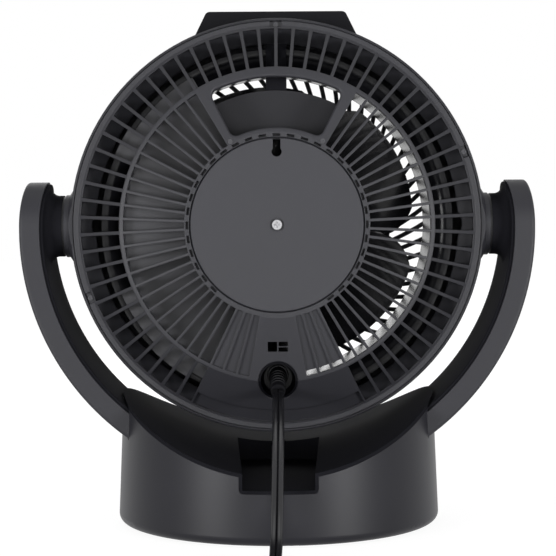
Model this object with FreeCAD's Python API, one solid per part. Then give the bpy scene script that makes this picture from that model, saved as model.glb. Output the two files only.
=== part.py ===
import FreeCAD, Part
import math
import os

V = FreeCAD.Vector
os.makedirs("parts", exist_ok=True)

# A tilting fan heater: a round head with guarded inlet and outlet, held between the two arms of a
# yoke that stands on a round base. All sizes are in millimetres.
# Frame: Z up from the floor, X along the tilt axis, air outlet towards -Y, air inlet towards +Y.
# Left and right are those of someone who faces the outlet, so left is -X.
# Angles about the head axis start at +X and rise towards +Z.

# Fits
SEAT_GAP = 0.1
RUNNING_FIT = 0.05
SLIDING_GAP = 0.3
THROUGH = 400.0

# Main sizes, from which most others follow
TILT_HEIGHT = 217.0
BASE_RADIUS = 117.5
DRUM_RADIUS = 150.2

# Base
BASE_DRAFT = 2.2
BASE_EDGE = 6.0
BASE_WALL = 2.6
BASE_LIP = 1.5
FLOOR_THICK = 3.0
FOOT_RISE = 1.2
FOOT_RECESS = 1.2
FOOT_RADIUS = 11.0
FOOT_INSET = 29.5
POST_X = 58.0
POST_Y = 72.0
POST_RADIUS = 5.0
BOWL_PITCH = 1.8

# Cord channel across the base
CHANNEL_REAR = 48.6
CHANNEL_FRONT = 62.0
CHANNEL_DEPTH = 9.3
CHANNEL_END = -32.0
CHANNEL_CORNER = 0.8
CHANNEL_WALL = 2.2

# Yoke arms
YOKE_ROOM = 18.8
YOKE_THICK = 17.3
YOKE_INNER = DRUM_RADIUS + YOKE_ROOM
YOKE_OUTER = YOKE_INNER + YOKE_THICK
LINER_THICK = 2.5
LINER_STEP = 1.4
ARM_WALL = 2.6
ARM_DEPTH_AXIS = 65.0
ARM_DEPTH_FOOT = 86.0
ARM_FOOT_HEIGHT = 68.0
ARM_EDGE = 2.5
LINER_EDGE = 1.0
TENON_X = BASE_RADIUS - 37.5
TENON_SCREW_X = BASE_RADIUS - 25.5
TENON_SCREW_Y = 28.0
TENON_BOSS_RADIUS = 6.0
TENON_BOSS_HEIGHT = 5.5
TENON_FLOOR = 4.0

# Pivots
BOSS_RADIUS = 22.5
BOSS_FILLET = 6.0
BUSH_RADIUS = 12.5
BUSH_FLANGE = 17.0
BUSH_FLANGE_THICK = 2.0
TRUNNION_RADIUS = 9.0
TRUNNION_FLANGE = 18.0
TRUNNION_FLANGE_THICK = 4.0
TRUNNION_SCREW_CIRCLE = 13.5
PIVOT_WASHER_RADIUS = 21.5
PIVOT_WASHER_THICK = 1.5
END_PLAY = 0.2
RETAINER_RADIUS = 14.0
RETAINER_THICK = 3.0

# Drum
DRUM_WALL = 2.0
DRUM_REAR = 24.5
DRUM_FRONT = -46.0
DRUM_EDGE = 1.5
COLLAR_RADIUS = 31.5
COLLAR_TOP = 24.0
COLLAR_STEP = DRUM_RADIUS + 1.6
COLLAR_DISC_RADIUS = 23.0
COLLAR_FACE = DRUM_RADIUS + 5.3
COLLAR_SEAT = DRUM_RADIUS - 4.5
BOSS_FACE = COLLAR_FACE + PIVOT_WASHER_THICK

# Rear guard, a dome of ribs
HUB_FACE = 62.0
HUB_RING_INNER = 61.9
HUB_RING_OUTER = 65.5
HUB_PLATE_REAR = 55.5
HUB_PLATE_THICK = 3.0
MID_RING_RADIUS = DRUM_RADIUS - 38.7
MID_RING_FACE = 52.5
RIB_DEPTH = 6.0
RIM_INNER = DRUM_RADIUS - 7.0
RIM_FACE = 26.5
RIM_GAP = 0.6
SLOPE_WIDTH = 11.2
SLOPE_DROP = 9.0
SLOPE_THICK = 3.0
FLANGE_THICK = 3.0
SKIRT_THICK = 2.5
SKIRT_FRONT = -40.0
RIB_COUNT = 70
RIB_WIDTH_INNER = 2.0
RIB_WIDTH_OUTER = 2.4
RIB_END_WIDTH = 3.0
RIB_END_LENGTH = 6.0
INNER_GAP_END = MID_RING_RADIUS - 2.5
OUTER_GAP_START = MID_RING_RADIUS + 0.7
OUTER_GAP_END = RIM_INNER - 1.2
HUB_NOTCH_COUNT = 40
HUB_NOTCH_ANGLE = 4.6
HUB_NOTCH_WIDTH = 1.7
HUB_NOTCH_DEPTH = 5.5
HUB_NOTCH_FROM = -52.0
HUB_NOTCH_TO = 240.0

# Hand-hole at the top of the rear guard
HANDLE_FRAME_RIBS = 6
HANDLE_HALF_ANGLE = 26.7
HANDLE_INNER = HUB_RING_OUTER + 3.0
HANDLE_OUTER = MID_RING_RADIUS - 6.5
HANDLE_CORNER = 5.0
HANDLE_LIP = 1.5
POCKET_FLOOR = 26.0
POCKET_OUTER = HANDLE_OUTER - 7.8
POCKET_WALL = 2.0
POCKET_BOSS_RADIUS = 2.6
POCKET_BOSS_FRONT = 37.0
POCKET_HALF_ANGLE = 29.0
WIRE_CHANNEL_WIDTH = 15.0
WIRE_CHANNEL_HEIGHT = 6.0
WIRE_CHANNEL_END = RIM_INNER - 12.5

# Cord panel at the bottom of the rear guard
PANEL_RIBS = 5
PLAIN_PANEL_RIBS = 2
BLIND_DEPTH = 1.6
VENT_LENGTH = 3.7
STEP_INNER = RIM_INNER - 10.2
STEP_DEPTH = 3.5
PORT_WIDTH = 6.6
PORT_HEIGHT = 7.0
PORT_GAP = 1.0
PORT_RISE = 28.0
CATCH_THICK = 0.9
CUP_DROP = MID_RING_RADIUS - 1.0
CUP_RADIUS = 13.9
CUP_WALL = 1.6
CUP_FLOOR = 26.0
CUP_FLOOR_THICK = 2.0
CUP_EDGE = 2.5

# Cord gland
GLAND_RISE = 2.0
GLAND_FLANGE = 7.6
GLAND_FLANGE_THICK = 3.0
GLAND_FLANGE_EDGE = 0.8
GLAND_ROOT = 6.6
GLAND_TIP = 5.2
GLAND_LENGTH = 29.0
GLAND_DROOP = 18.0
GLAND_RIBS = 5

# Hub cover and its screw
HUB_COVER_FACE = 61.2
HUB_COVER_THICK = 2.7
HUB_COVER_SKIRT = 3.0
HUB_COVER_BORE = 5.0
HUB_COVER_SINK = 1.5
KEYHOLE_BULB = 3.6
KEYHOLE_NECK = 2.7
KEYHOLE_RADIUS = 51.5

# Screws
M4_RADIUS = 2.0
M4_HEAD = 3.5
M4_HEAD_THICK = 2.2
M3_RADIUS = 1.5
M3_HEAD = 2.6
M3_HEAD_THICK = 1.6
CROSS_WIDTH = 0.9
CROSS_DEPTH = 1.0
RIM_SCREW_CIRCLE = DRUM_RADIUS - 4.8
RIM_NOTCH_WIDTH = 8.4
RIM_NOTCH_DEPTH = 1.4
RIM_SCREW_ANGLES = [159.0, 90.0, -21.0, -90.0]
RIM_BOSS_RADIUS = 3.6
RIM_BOSS_LENGTH = 16.0
HANDLE_SCREW_ANGLES = [61.0, 119.0]
HANDLE_SCREW_RADIUS = HUB_RING_OUTER + 1.7
M2_RADIUS = 1.2
M2_HEAD = 1.8
M2_HEAD_THICK = 1.3

# Air duct
DUCT_RADIUS = MID_RING_RADIUS + 1.0
DUCT_WALL = 2.2
DUCT_FRONT = -50.0
DUCT_FLANGE_FACE = 22.0
DUCT_MOUTH = 13.5
DUCT_LIP = 1.5

# Front bezel and front guard
BEZEL_FACE = -62.0
BEZEL_EDGE = 5.0
BEZEL_INNER = DRUM_RADIUS - 12.5
WEB_THICK = 2.5
SPIGOT_LENGTH = 6.0
FRONT_HUB_FACE = -74.5
FRONT_MID_FACE = -71.5
FRONT_RIM_FACE = -63.0
FRONT_GUARD_THICK = 5.0
FRONT_HUB_RADIUS = 34.0
FRONT_RIM_RADIUS = BEZEL_INNER - 6.0
FRONT_MID_RADIUS = 0.65 * FRONT_RIM_RADIUS
FRONT_BARS = 60
FRONT_BAR_WIDTH = 3.2
FRONT_BAR_LEAN = 32.0
FRONT_GAP_INSET = 2.5
CAP_RADIUS = 33.0
CAP_THICK = 3.0

# Fan and motor
FAN_BLADES = 5
FAN_RADIUS = DUCT_RADIUS - 10.0
FAN_MIDDLE = -2.0
FAN_HUB_RADIUS = 27.0
FAN_HUB_WALL = 2.5
FAN_HUB_HALF = 20.0
FAN_BORE_BOSS = 9.0
BLADE_THICK = 2.2
BLADE_CAMBER = 5.0
BLADE_TURN = 60.5
SHAFT_RADIUS = 4.0
SHAFT_REAR = 47.5
NUT_RADIUS = 9.0
NUT_LENGTH = 6.0
MOTOR_RADIUS = 36.0
MOTOR_FRONT = 24.0
MOTOR_WALL = 2.0
MOTOR_BACK_WALL = 4.0
BEARING_RADIUS = 8.0
BEARING_LENGTH = 5.0
ROTOR_RADIUS = 17.5
ROTOR_REAR = 42.0
AIR_GAP = 0.5
MOTOR_SCREW_CIRCLE = 30.0

# Electronics beside the motor
TRAY_THICK = 2.0
BOX_WALL = 1.8
BOX_INNER = HUB_RING_OUTER + 1.0
BOX_LOW_OUTER = DUCT_RADIUS + 10.0
BOX_LOW_FACE = 34.0
BOX_HIGH_OUTER = MID_RING_RADIUS - 3.5
BOX_HIGH_FACE = 45.5
BOX_FROM = -67.0
BOX_TO = 60.5
BOX_HIGH_FROM = -18.0
BOX_HIGH_TO = 28.0
BOX_BITE_FROM = -23.0
BOX_BITE_TO = 22.5
BOARD_THICK = 1.6
BOARD_RISE = 3.0

# Heater in the outlet half of the duct
HEATER_NEAR = 26.0
HEATER_FAR = DUCT_RADIUS - 14.5
HEATER_HALF_HEIGHT = 42.0
HEATER_REAR = -28.0
HEATER_FRONT = -46.0
HEATER_FRAME_WALL = 4.0
HEATER_LUG_HALF = 10.0
FIN_PITCH = 3.0
FIN_THICK = 0.8
FIN_BAR_WIDTH = 6.0
CUTOUT_RADIUS = 6.0
CUTOUT_LENGTH = 5.0

# Control pod on the drum
POD_TOP = DRUM_RADIUS + 8.8
POD_HALF_WIDTH = 51.6
POD_SLOPE = 0.49
POD_REAR = -8.0
POD_FRONT = -45.0
POD_CORNER = 4.0
POD_RIM = 2.5
POD_LEDGE = 4.5
POD_PANEL_RECESS = 1.2
POD_PANEL_THICK = 2.2
POD_OPENING_HALF = 46.0
BUTTON_RADIUS = 5.2
BUTTON_PROUD = 0.9
BUTTON_FLANGE = 6.8
BUTTON_FLANGE_THICK = 1.5
BUTTON_TRAVEL = 0.8
BUTTON_PLACES = {"power": -40.0, "heat": -26.0, "speed": 26.0, "timer": 40.0}
SWITCH_SIDE = 6.2
SWITCH_HEIGHT = 3.2
DISPLAY_HALF_WIDTH = 16.0
DISPLAY_HALF_DEPTH = 6.0
DISPLAY_FLANGE = 2.0
DISPLAY_FLANGE_THICK = 1.0
BOARD_POST_X = 33.0
BOARD_POST_Y = 10.0
BOARD_POST_RADIUS = 2.2

# Mains cord, its coil and its plug
CORD_WIDTH = 8.3
COIL_START_X = 10.0
COIL_MIDDLE_Y = 304.0
COIL_OUTER = 60.0
COIL_PITCH = 8.8
COIL_STEPS = 20
COIL_STEP_ANGLE = 88.0
COIL_LEAD_OUT = 50.0
TIE_THICK = 0.8
TIE_WIDTH = 12.0
TIE_ROOM = 1.2
PLUG_LENGTH = 45.0
PLUG_HALF_WIDTH = 18.5
PLUG_NECK = 8.0
PLUG_EDGE = 3.0
PIN_RADIUS = 2.4
PIN_LENGTH = 19.0
PIN_SPACING = 19.0


# Shapes used all over

def along_x(radius, x0, x1, y=0.0, z=0.0):
    return Part.makeCylinder(radius, x1 - x0, V(x0, y, z), V(1, 0, 0))


def along_y(radius, y0, y1, x=0.0, z=0.0):
    return Part.makeCylinder(radius, y1 - y0, V(x, y0, z), V(0, 1, 0))


def along_z(radius, z0, z1, x=0.0, y=0.0):
    return Part.makeCylinder(radius, z1 - z0, V(x, y, z0), V(0, 0, 1))


def block(x0, x1, y0, y1, z0, z1):
    return Part.makeBox(x1 - x0, y1 - y0, z1 - z0, V(x0, y0, z0))


def line(a, b):
    return Part.LineSegment(a, b).toShape()


def prism(points, push):
    """A closed outline of straight edges, pushed along a vector."""
    return Part.Face(Part.makePolygon(points + points[:1])).extrude(push)


def turned(points):
    """A solid turned about the head axis from an outline of (radius, y) points."""
    corners = [V(radius, y, 0) for radius, y in points]
    face = Part.Face(Part.makePolygon(corners + corners[:1]))
    return face.revolve(V(0, 0, 0), V(0, 1, 0), 360)


def polar(radius, angle, y=0.0):
    a = math.radians(angle)
    return V(radius * math.cos(a), y, radius * math.sin(a))


def sector(r0, r1, a0, a1, y0, y1):
    """A piece of a ring about the head axis, between two radii, angles and places along Y."""
    middle = (a0 + a1) / 2
    edges = [
        Part.Arc(polar(r1, a0, y0), polar(r1, middle, y0), polar(r1, a1, y0)).toShape(),
        line(polar(r1, a1, y0), polar(r0, a1, y0)),
        Part.Arc(polar(r0, a1, y0), polar(r0, middle, y0), polar(r0, a0, y0)).toShape(),
        line(polar(r0, a0, y0), polar(r1, a0, y0)),
    ]
    return Part.Face(Part.Wire(edges)).extrude(V(0, y1 - y0, 0))


def mirrored(shape):
    return shape.mirror(V(0, 0, 0), V(1, 0, 0))


def save(name, shape):
    shape.exportStep("parts/" + name + ".step")


def save_head(name, shape):
    """Head pieces are made about the head axis and lifted to its height."""
    save(name, shape.translated(V(0, 0, TILT_HEIGHT)))


def screw(head, head_thick, shank, length, seat, direction):
    """A pan-head cross screw. Its head stands on the seat point, against the direction it drives in."""
    top = seat - direction * head_thick
    body = Part.makeCylinder(head, head_thick, top, direction)
    body = body.fuse(Part.makeCylinder(shank, length, seat, direction))
    side = V(0, 0, 1) if abs(direction.z) < 0.5 else V(1, 0, 0)
    for along in (side, side.cross(direction)):
        across = along.cross(direction)
        start = top - along * (head * 0.6) - across * (CROSS_WIDTH / 2)
        corners = [
            start,
            start + along * (head * 1.2),
            start + along * (head * 1.2) + across * CROSS_WIDTH,
            start + across * CROSS_WIDTH,
        ]
        body = body.cut(prism(corners, direction * CROSS_DEPTH))
    return body


# Base: an upright drafted shell, a bowl panel that closes it under the head, and a floor plate

base_draft = math.tan(math.radians(BASE_DRAFT))
bowl_rise = BASE_RADIUS * math.tan(math.radians(BOWL_PITCH))
base_height = TILT_HEIGHT - math.sqrt(YOKE_INNER ** 2 - BASE_RADIUS ** 2) + bowl_rise


def base_body(inset):
    """The drafted round body of the base, set in from its outer face."""
    radius = BASE_RADIUS - inset
    top = radius - base_height * base_draft
    return Part.makeCone(radius, top, base_height, V(0, 0, FOOT_RISE), V(0, 0, 1))


def bowl(radius):
    """The round space between the arms, along Y."""
    return along_y(radius, -THROUGH, THROUGH, 0, TILT_HEIGHT)


def dish(radius):
    """The round space over the base, which rises from the base's rear towards its front."""
    space = bowl(radius)
    space.rotate(V(0, BASE_RADIUS, TILT_HEIGHT - YOKE_INNER), V(1, 0, 0), -BOWL_PITCH)
    return space


def channel(grow, floor, end):
    """The cord channel, wider towards the front, from its floor up."""
    rear = CHANNEL_REAR / 2 + grow
    front = CHANNEL_FRONT / 2 + grow
    slope = (front - rear) / (BASE_RADIUS - CHANNEL_END)
    past = BASE_RADIUS + CHANNEL_WALL
    corners = [
        V(-front, end, floor),
        V(front, end, floor),
        V(rear - slope * CHANNEL_WALL, past, floor),
        V(slope * CHANNEL_WALL - rear, past, floor),
    ]
    return prism(corners, V(0, 0, TILT_HEIGHT - floor))


def round_floor_edges(shape, floor, radius):
    """Rounds the edges along the channel's floor."""
    edges = [e for e in shape.Edges if abs(e.BoundBox.ZMax - floor) < 1e-6]
    edges = [e for e in edges if e.BoundBox.YLength > 1]
    return shape.makeFillet(radius, edges)


channel_floor = TILT_HEIGHT - YOKE_INNER - CHANNEL_DEPTH
outer_base = base_body(0)
bottom_rim = [e for e in outer_base.Edges if abs(e.BoundBox.ZMax - FOOT_RISE) < 1e-6]
rounded_base = outer_base.makeFillet(BASE_EDGE, bottom_rim)
channel_space = round_floor_edges(channel(0, channel_floor, CHANNEL_END), channel_floor, CHANNEL_CORNER)
trough_bottom = channel_floor - CHANNEL_WALL
trough_end = CHANNEL_END - CHANNEL_WALL
trough_block = round_floor_edges(
    channel(CHANNEL_WALL, trough_bottom, trough_end), trough_bottom, CHANNEL_CORNER + CHANNEL_WALL
)
trough_room = channel(CHANNEL_WALL + SEAT_GAP, trough_bottom - SEAT_GAP, trough_end - SEAT_GAP)
trough_room = round_floor_edges(trough_room, trough_bottom - SEAT_GAP, CHANNEL_CORNER + CHANNEL_WALL)


arm_slope = (ARM_DEPTH_FOOT - ARM_DEPTH_AXIS) / 2 / (TILT_HEIGHT - ARM_FOOT_HEIGHT)
arm_lean = math.atan(arm_slope)


def arm_band(r0, r1, inset, x0):
    """The right arm between two radii about the head axis: leaning flanks and a round end over the pivot."""
    wide = ARM_DEPTH_AXIS / 2 - inset + arm_slope * (TILT_HEIGHT - FOOT_RISE)
    end = (ARM_DEPTH_AXIS / 2 - inset) * math.cos(arm_lean)
    rear_foot = V(x0, wide, FOOT_RISE)
    front_foot = V(x0, -wide, FOOT_RISE)
    rear_turn = V(x0, end * math.cos(arm_lean), TILT_HEIGHT + end * math.sin(arm_lean))
    front_turn = V(x0, -rear_turn.y, rear_turn.z)
    edges = [
        line(front_foot, rear_foot),
        line(rear_foot, rear_turn),
        Part.Arc(rear_turn, V(x0, 0, TILT_HEIGHT + end), front_turn).toShape(),
        line(front_turn, front_foot),
    ]
    flat = Part.Face(Part.Wire(edges)).extrude(V(YOKE_OUTER, 0, 0))
    return flat.common(bowl(r1).cut(bowl(r0)))


shell_inner = YOKE_INNER + LINER_THICK
arm_room = arm_band(shell_inner - SLIDING_GAP, YOKE_OUTER + SEAT_GAP, -SEAT_GAP, TENON_X)

base_shell = rounded_base.cut(dish(shell_inner))
cavity = base_body(BASE_WALL)
cavity = cavity.cut(block(-THROUGH, THROUGH, -THROUGH, THROUGH, -1, FOOT_RISE + BASE_EDGE))
floor_opening = BASE_RADIUS - BASE_EDGE - BASE_LIP
cavity = cavity.fuse(along_z(floor_opening, 0, FOOT_RISE + BASE_EDGE + 1))
base_shell = base_shell.cut([cavity, trough_room, arm_room, mirrored(arm_room)])
save("base_shell", base_shell)

bowl_panel = outer_base.common(dish(shell_inner).cut(dish(YOKE_INNER)))
trough = trough_block.common(outer_base).cut(dish(YOKE_INNER))
floor_top = FOOT_RISE + FLOOR_THICK
post_places = [(x, y) for x in (-POST_X, POST_X) for y in (-POST_Y, POST_Y)]
posts = [along_z(POST_RADIUS, floor_top, TILT_HEIGHT, x, y) for x, y in post_places]
tenon_places = [(TENON_SCREW_X, y) for y in (-TENON_SCREW_Y, TENON_SCREW_Y)]
tenon_low_edge = TENON_SCREW_X - M4_HEAD
tenon_joint = TILT_HEIGHT - math.sqrt(YOKE_INNER ** 2 - tenon_low_edge ** 2) - TENON_BOSS_HEIGHT
tenon_bosses = [along_z(TENON_BOSS_RADIUS, tenon_joint, TILT_HEIGHT, x, y) for x, y in tenon_places]
risers = [r.cut(dish(YOKE_INNER + 1)) for r in posts + tenon_bosses + [mirrored(b) for b in tenon_bosses]]
base_top = bowl_panel.fuse([trough] + risers).cut(channel_space)
pilot = M4_RADIUS + RUNNING_FIT
screw_depth = 14.0
base_top = base_top.cut([along_z(pilot, 0, floor_top + screw_depth, x, y) for x, y in post_places])
tenon_screw_length = 11.0
tenon_seat = tenon_joint - TENON_FLOOR
tenon_end = tenon_seat + tenon_screw_length + SLIDING_GAP
tenon_holes = [along_z(pilot, tenon_seat, tenon_end, x, y) for x, y in tenon_places]
base_top = base_top.cut(tenon_holes + [mirrored(h) for h in tenon_holes])
save("base_top", base_top)

foot_circle = BASE_RADIUS - FOOT_INSET
foot_places = [(foot_circle, 0), (-foot_circle, 0), (0, foot_circle), (0, -foot_circle)]
base_floor = along_z(floor_opening - SEAT_GAP, FOOT_RISE, floor_top)
foot_pockets = [along_z(FOOT_RADIUS + SEAT_GAP, 0, FOOT_RISE + FOOT_RECESS, x, y) for x, y in foot_places]
head_pockets = [along_z(M4_HEAD + SLIDING_GAP, 0, FOOT_RISE + M4_HEAD_THICK, x, y) for x, y in post_places]
shank_holes = [along_z(pilot, 0, THROUGH, x, y) for x, y in post_places]
base_floor = base_floor.cut(foot_pockets + head_pockets + shank_holes)
save("base_floor", base_floor)

feet = [along_z(FOOT_RADIUS, 0, FOOT_RISE + FOOT_RECESS, x, y) for x, y in foot_places]
save("base_feet", Part.makeCompound(feet))

floor_seat = FOOT_RISE + M4_HEAD_THICK
floor_screws = [
    screw(M4_HEAD, M4_HEAD_THICK, M4_RADIUS, screw_depth, V(x, y, floor_seat), V(0, 0, 1))
    for x, y in post_places
]
save("base_floor_screws", Part.makeCompound(floor_screws))

# Yoke arms: an outer channel whose foot runs on under the bowl panel, and an inner liner with the boss



def along_face(edge, radius):
    """Whether an edge runs up a flank of the arm or round its end, on its face of this radius."""
    points = [edge.valueAt(t) for t in edge.ParameterRange]
    points.append(edge.valueAt(sum(edge.ParameterRange) / 2))
    radii = [math.hypot(p.x, p.z - TILT_HEIGHT) for p in points]
    return max(p.z for p in points) > TILT_HEIGHT - 1 and all(abs(r - radius) < 1e-3 for r in radii)


arm = arm_band(shell_inner, YOKE_OUTER, 0, TENON_X)
arm = arm.makeFillet(ARM_EDGE, [e for e in arm.Edges if along_face(e, YOKE_OUTER)])
arm_inside = arm_band(YOKE_INNER, YOKE_OUTER - ARM_WALL, ARM_WALL, TENON_X + ARM_WALL)
arm_shell = arm.cut(arm_inside)
tenon_posts = [along_z(POST_RADIUS, FOOT_RISE, tenon_joint, x, y) for x, y in tenon_places]
tenon_posts = [p.common(arm_band(shell_inner, YOKE_OUTER - 1, 1, TENON_X)) for p in tenon_posts]
tenon_sinks = [along_z(M4_HEAD + SLIDING_GAP, 0, tenon_seat, x, y) for x, y in tenon_places]
arm_shell = arm_shell.fuse(tenon_posts).cut(tenon_holes + tenon_sinks)
save("right_arm_shell", arm_shell)
save("left_arm_shell", mirrored(arm_shell))

tenon_screws = [
    screw(M4_HEAD, M4_HEAD_THICK, M4_RADIUS, tenon_screw_length, V(x, y, tenon_seat), V(0, 0, 1))
    for x, y in tenon_places
]
save("arm_screws", Part.makeCompound(tenon_screws + [mirrored(s) for s in tenon_screws]))

liner = arm_band(YOKE_INNER, shell_inner, LINER_STEP, TENON_X).cut(base_body(-SEAT_GAP))
liner = liner.makeFillet(LINER_EDGE, [e for e in liner.Edges if along_face(e, YOKE_INNER)])
boss = along_x(BOSS_RADIUS, BOSS_FACE, YOKE_INNER + LINER_THICK / 5, 0, TILT_HEIGHT)
liner = liner.fuse(boss).Solids[0]
root = [
    e
    for e in liner.Edges
    if abs(e.BoundBox.YLength - 2 * BOSS_RADIUS) < 0.5
    and abs(e.BoundBox.ZLength - 2 * BOSS_RADIUS) < 0.5
    and e.BoundBox.XMin > BOSS_FACE + 1
    and e.BoundBox.XMax < YOKE_INNER + 0.5
]
liner = liner.makeFillet(BOSS_FILLET, root)
liner = liner.cut(along_x(BUSH_RADIUS, 0, THROUGH, 0, TILT_HEIGHT))
save("right_arm_liner", liner)
save("left_arm_liner", mirrored(liner))

flange_face = shell_inner + BUSH_FLANGE_THICK
bush = along_x(BUSH_RADIUS - RUNNING_FIT, BOSS_FACE, shell_inner, 0, TILT_HEIGHT)
bush = bush.fuse(along_x(BUSH_FLANGE, shell_inner, flange_face, 0, TILT_HEIGHT))
bush = bush.cut(along_x(TRUNNION_RADIUS + RUNNING_FIT, 0, THROUGH, 0, TILT_HEIGHT))
save("right_pivot_bush", bush)
save("left_pivot_bush", mirrored(bush))

# Head pivots: a trunnion screwed to the drum on each side, a friction washer and a retaining screw


def both_sides(shapes):
    return Part.makeCompound(shapes + [mirrored(s) for s in shapes])


trunnion_inner = COLLAR_SEAT - TRUNNION_FLANGE_THICK
trunnion_end = flange_face + END_PLAY
trunnion = along_x(TRUNNION_FLANGE, trunnion_inner, COLLAR_SEAT)
trunnion = trunnion.fuse(along_x(TRUNNION_RADIUS, COLLAR_SEAT - 1, trunnion_end))
trunnion = trunnion.cut(along_x(pilot, trunnion_end - screw_depth, THROUGH))
trunnion_screw_length = COLLAR_FACE - trunnion_inner - 2
small_pilot = M3_RADIUS + RUNNING_FIT
trunnion_screw_seats = [
    V(trunnion_inner, 0, 0) + V(0, -math.sin(a), math.cos(a)) * TRUNNION_SCREW_CIRCLE
    for a in (0, math.radians(120), math.radians(240))
]
trunnion_pilots = [
    along_x(small_pilot, s.x, s.x + trunnion_screw_length, s.y, s.z) for s in trunnion_screw_seats
]
trunnion = trunnion.cut(trunnion_pilots)
save_head("right_trunnion", trunnion)
save_head("left_trunnion", mirrored(trunnion))

trunnion_screws = [
    screw(M3_HEAD, M3_HEAD_THICK, M3_RADIUS, trunnion_screw_length, s, V(1, 0, 0))
    for s in trunnion_screw_seats
]
save_head("trunnion_screws", both_sides(trunnion_screws))

retainer_seat = V(trunnion_end, 0, 0)
retainer = screw(RETAINER_RADIUS, RETAINER_THICK, M4_RADIUS, screw_depth - 1, retainer_seat, V(-1, 0, 0))
save_head("pivot_screws", both_sides([retainer]))

pivot_washer = along_x(PIVOT_WASHER_RADIUS, COLLAR_FACE, BOSS_FACE)
pivot_washer = pivot_washer.cut(along_x(TRUNNION_RADIUS + SEAT_GAP, 0, THROUGH))
save_head("pivot_washers", both_sides([pivot_washer]))

# Drum of the head

drum_inner = DRUM_RADIUS - DRUM_WALL
drum = along_y(DRUM_RADIUS, DRUM_FRONT, DRUM_REAR)
drum = drum.makeFillet(DRUM_EDGE, [e for e in drum.Edges if e.BoundBox.YMin > DRUM_REAR - 1e-3])
drum_bore = along_y(drum_inner, -THROUGH, THROUGH)
drum = drum.cut(drum_bore)
collar_root = math.sqrt(DRUM_RADIUS ** 2 - COLLAR_RADIUS ** 2)
collar_height = COLLAR_STEP - collar_root
collar = along_x(COLLAR_RADIUS, COLLAR_SEAT, collar_root)
collar = collar.fuse(
    Part.makeCone(COLLAR_RADIUS, COLLAR_TOP, collar_height, V(collar_root, 0, 0), V(1, 0, 0))
)
collar = collar.common(block(0, THROUGH, DRUM_FRONT, DRUM_REAR, -COLLAR_RADIUS, COLLAR_RADIUS))
disc = along_x(COLLAR_DISC_RADIUS, COLLAR_SEAT, COLLAR_FACE)
disc = disc.makeFillet(DRUM_EDGE / 2, [e for e in disc.Edges if e.BoundBox.XMin > COLLAR_FACE - 1e-3])
collar = collar.fuse(disc).cut(drum_bore)
pivot_pad = along_x(TRUNNION_FLANGE + 2, COLLAR_SEAT, drum_inner + 1)
flange_seat = DRUM_REAR - FLANGE_THICK
rim_bosses = [
    along_y(RIM_BOSS_RADIUS, flange_seat - RIM_BOSS_LENGTH, flange_seat, p.x, p.z)
    for p in (polar(RIM_SCREW_CIRCLE, a) for a in RIM_SCREW_ANGLES)
]
drum = drum.fuse([collar, mirrored(collar), pivot_pad, mirrored(pivot_pad)] + rim_bosses)
trunnion_hole = along_x(TRUNNION_RADIUS + SEAT_GAP, 0, THROUGH)
drum = drum.cut([trunnion_hole, mirrored(trunnion_hole)])
drum = drum.cut(trunnion_pilots + [mirrored(p) for p in trunnion_pilots])
rim_screw_length = 12.0
rim_seats = [polar(RIM_SCREW_CIRCLE, a, DRUM_REAR - RIM_NOTCH_DEPTH) for a in RIM_SCREW_ANGLES]
tiny_pilot = M2_RADIUS + RUNNING_FIT
rim_pilots = [along_y(tiny_pilot, s.y - rim_screw_length, THROUGH, s.x, s.z) for s in rim_seats]
pod_opening_front = POD_FRONT + POD_LEDGE
pod_opening_rear = POD_REAR - POD_LEDGE
pod_opening = block(
    -POD_OPENING_HALF, POD_OPENING_HALF, pod_opening_front, pod_opening_rear, 0, THROUGH
)
drum = drum.cut(rim_pilots + [pod_opening])
save_head("drum_shell", drum)

# Rear guard: a hub plate, a dome of ribs and a rim with a skirt inside the drum

rib_pitch = 360.0 / RIB_COUNT
rim_step = RIM_INNER + 0.8
rim_edge = drum_inner - RIM_GAP
slope_start = RIM_INNER - SLOPE_WIDTH
slope_top = RIM_FACE - SLOPE_DROP
hub_plate_front = HUB_PLATE_REAR - HUB_PLATE_THICK
dome_outside = [(HUB_RING_OUTER, HUB_FACE), (MID_RING_RADIUS, MID_RING_FACE), (rim_step, RIM_FACE)]


def dome_face(radius):
    """Place along Y of the dome's outer face."""
    near, far = dome_outside[:2] if radius < MID_RING_RADIUS else dome_outside[1:]
    share = (radius - near[0]) / (far[0] - near[0])
    return near[1] + (far[1] - near[1]) * share


dome_inside = [
    (HUB_RING_OUTER, hub_plate_front),
    (MID_RING_RADIUS - 2.5, MID_RING_FACE - RIB_DEPTH),
    (slope_start, dome_face(slope_start) - RIB_DEPTH),
    (slope_start, slope_top - SLOPE_THICK),
    (RIM_INNER, RIM_FACE - SLOPE_THICK),
]


def under_dome(outline, offset):
    """All the room in front of one face of the dome."""
    points = [(radius, y + offset) for radius, y in outline]
    return turned([(0, -THROUGH), (0, points[0][1])] + points + [(points[-1][0], -THROUGH)])


def beside_rib(radius, index, offset, y):
    """A point along a rib, set to its side, towards the next rib when the offset is positive."""
    angle = 90 + index * rib_pitch
    return polar(radius, angle, y) + polar(offset, angle + 90)


def rib_gap(index, steps):
    """The space between a rib and the next one; the steps are (radius, rib width) pairs."""
    near = [beside_rib(radius, index, width / 2, 0) for radius, width in steps]
    far = [beside_rib(radius, index + 1, -width / 2, 0) for radius, width in steps]
    return prism(near + far[::-1], V(0, THROUGH, 0))


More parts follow.
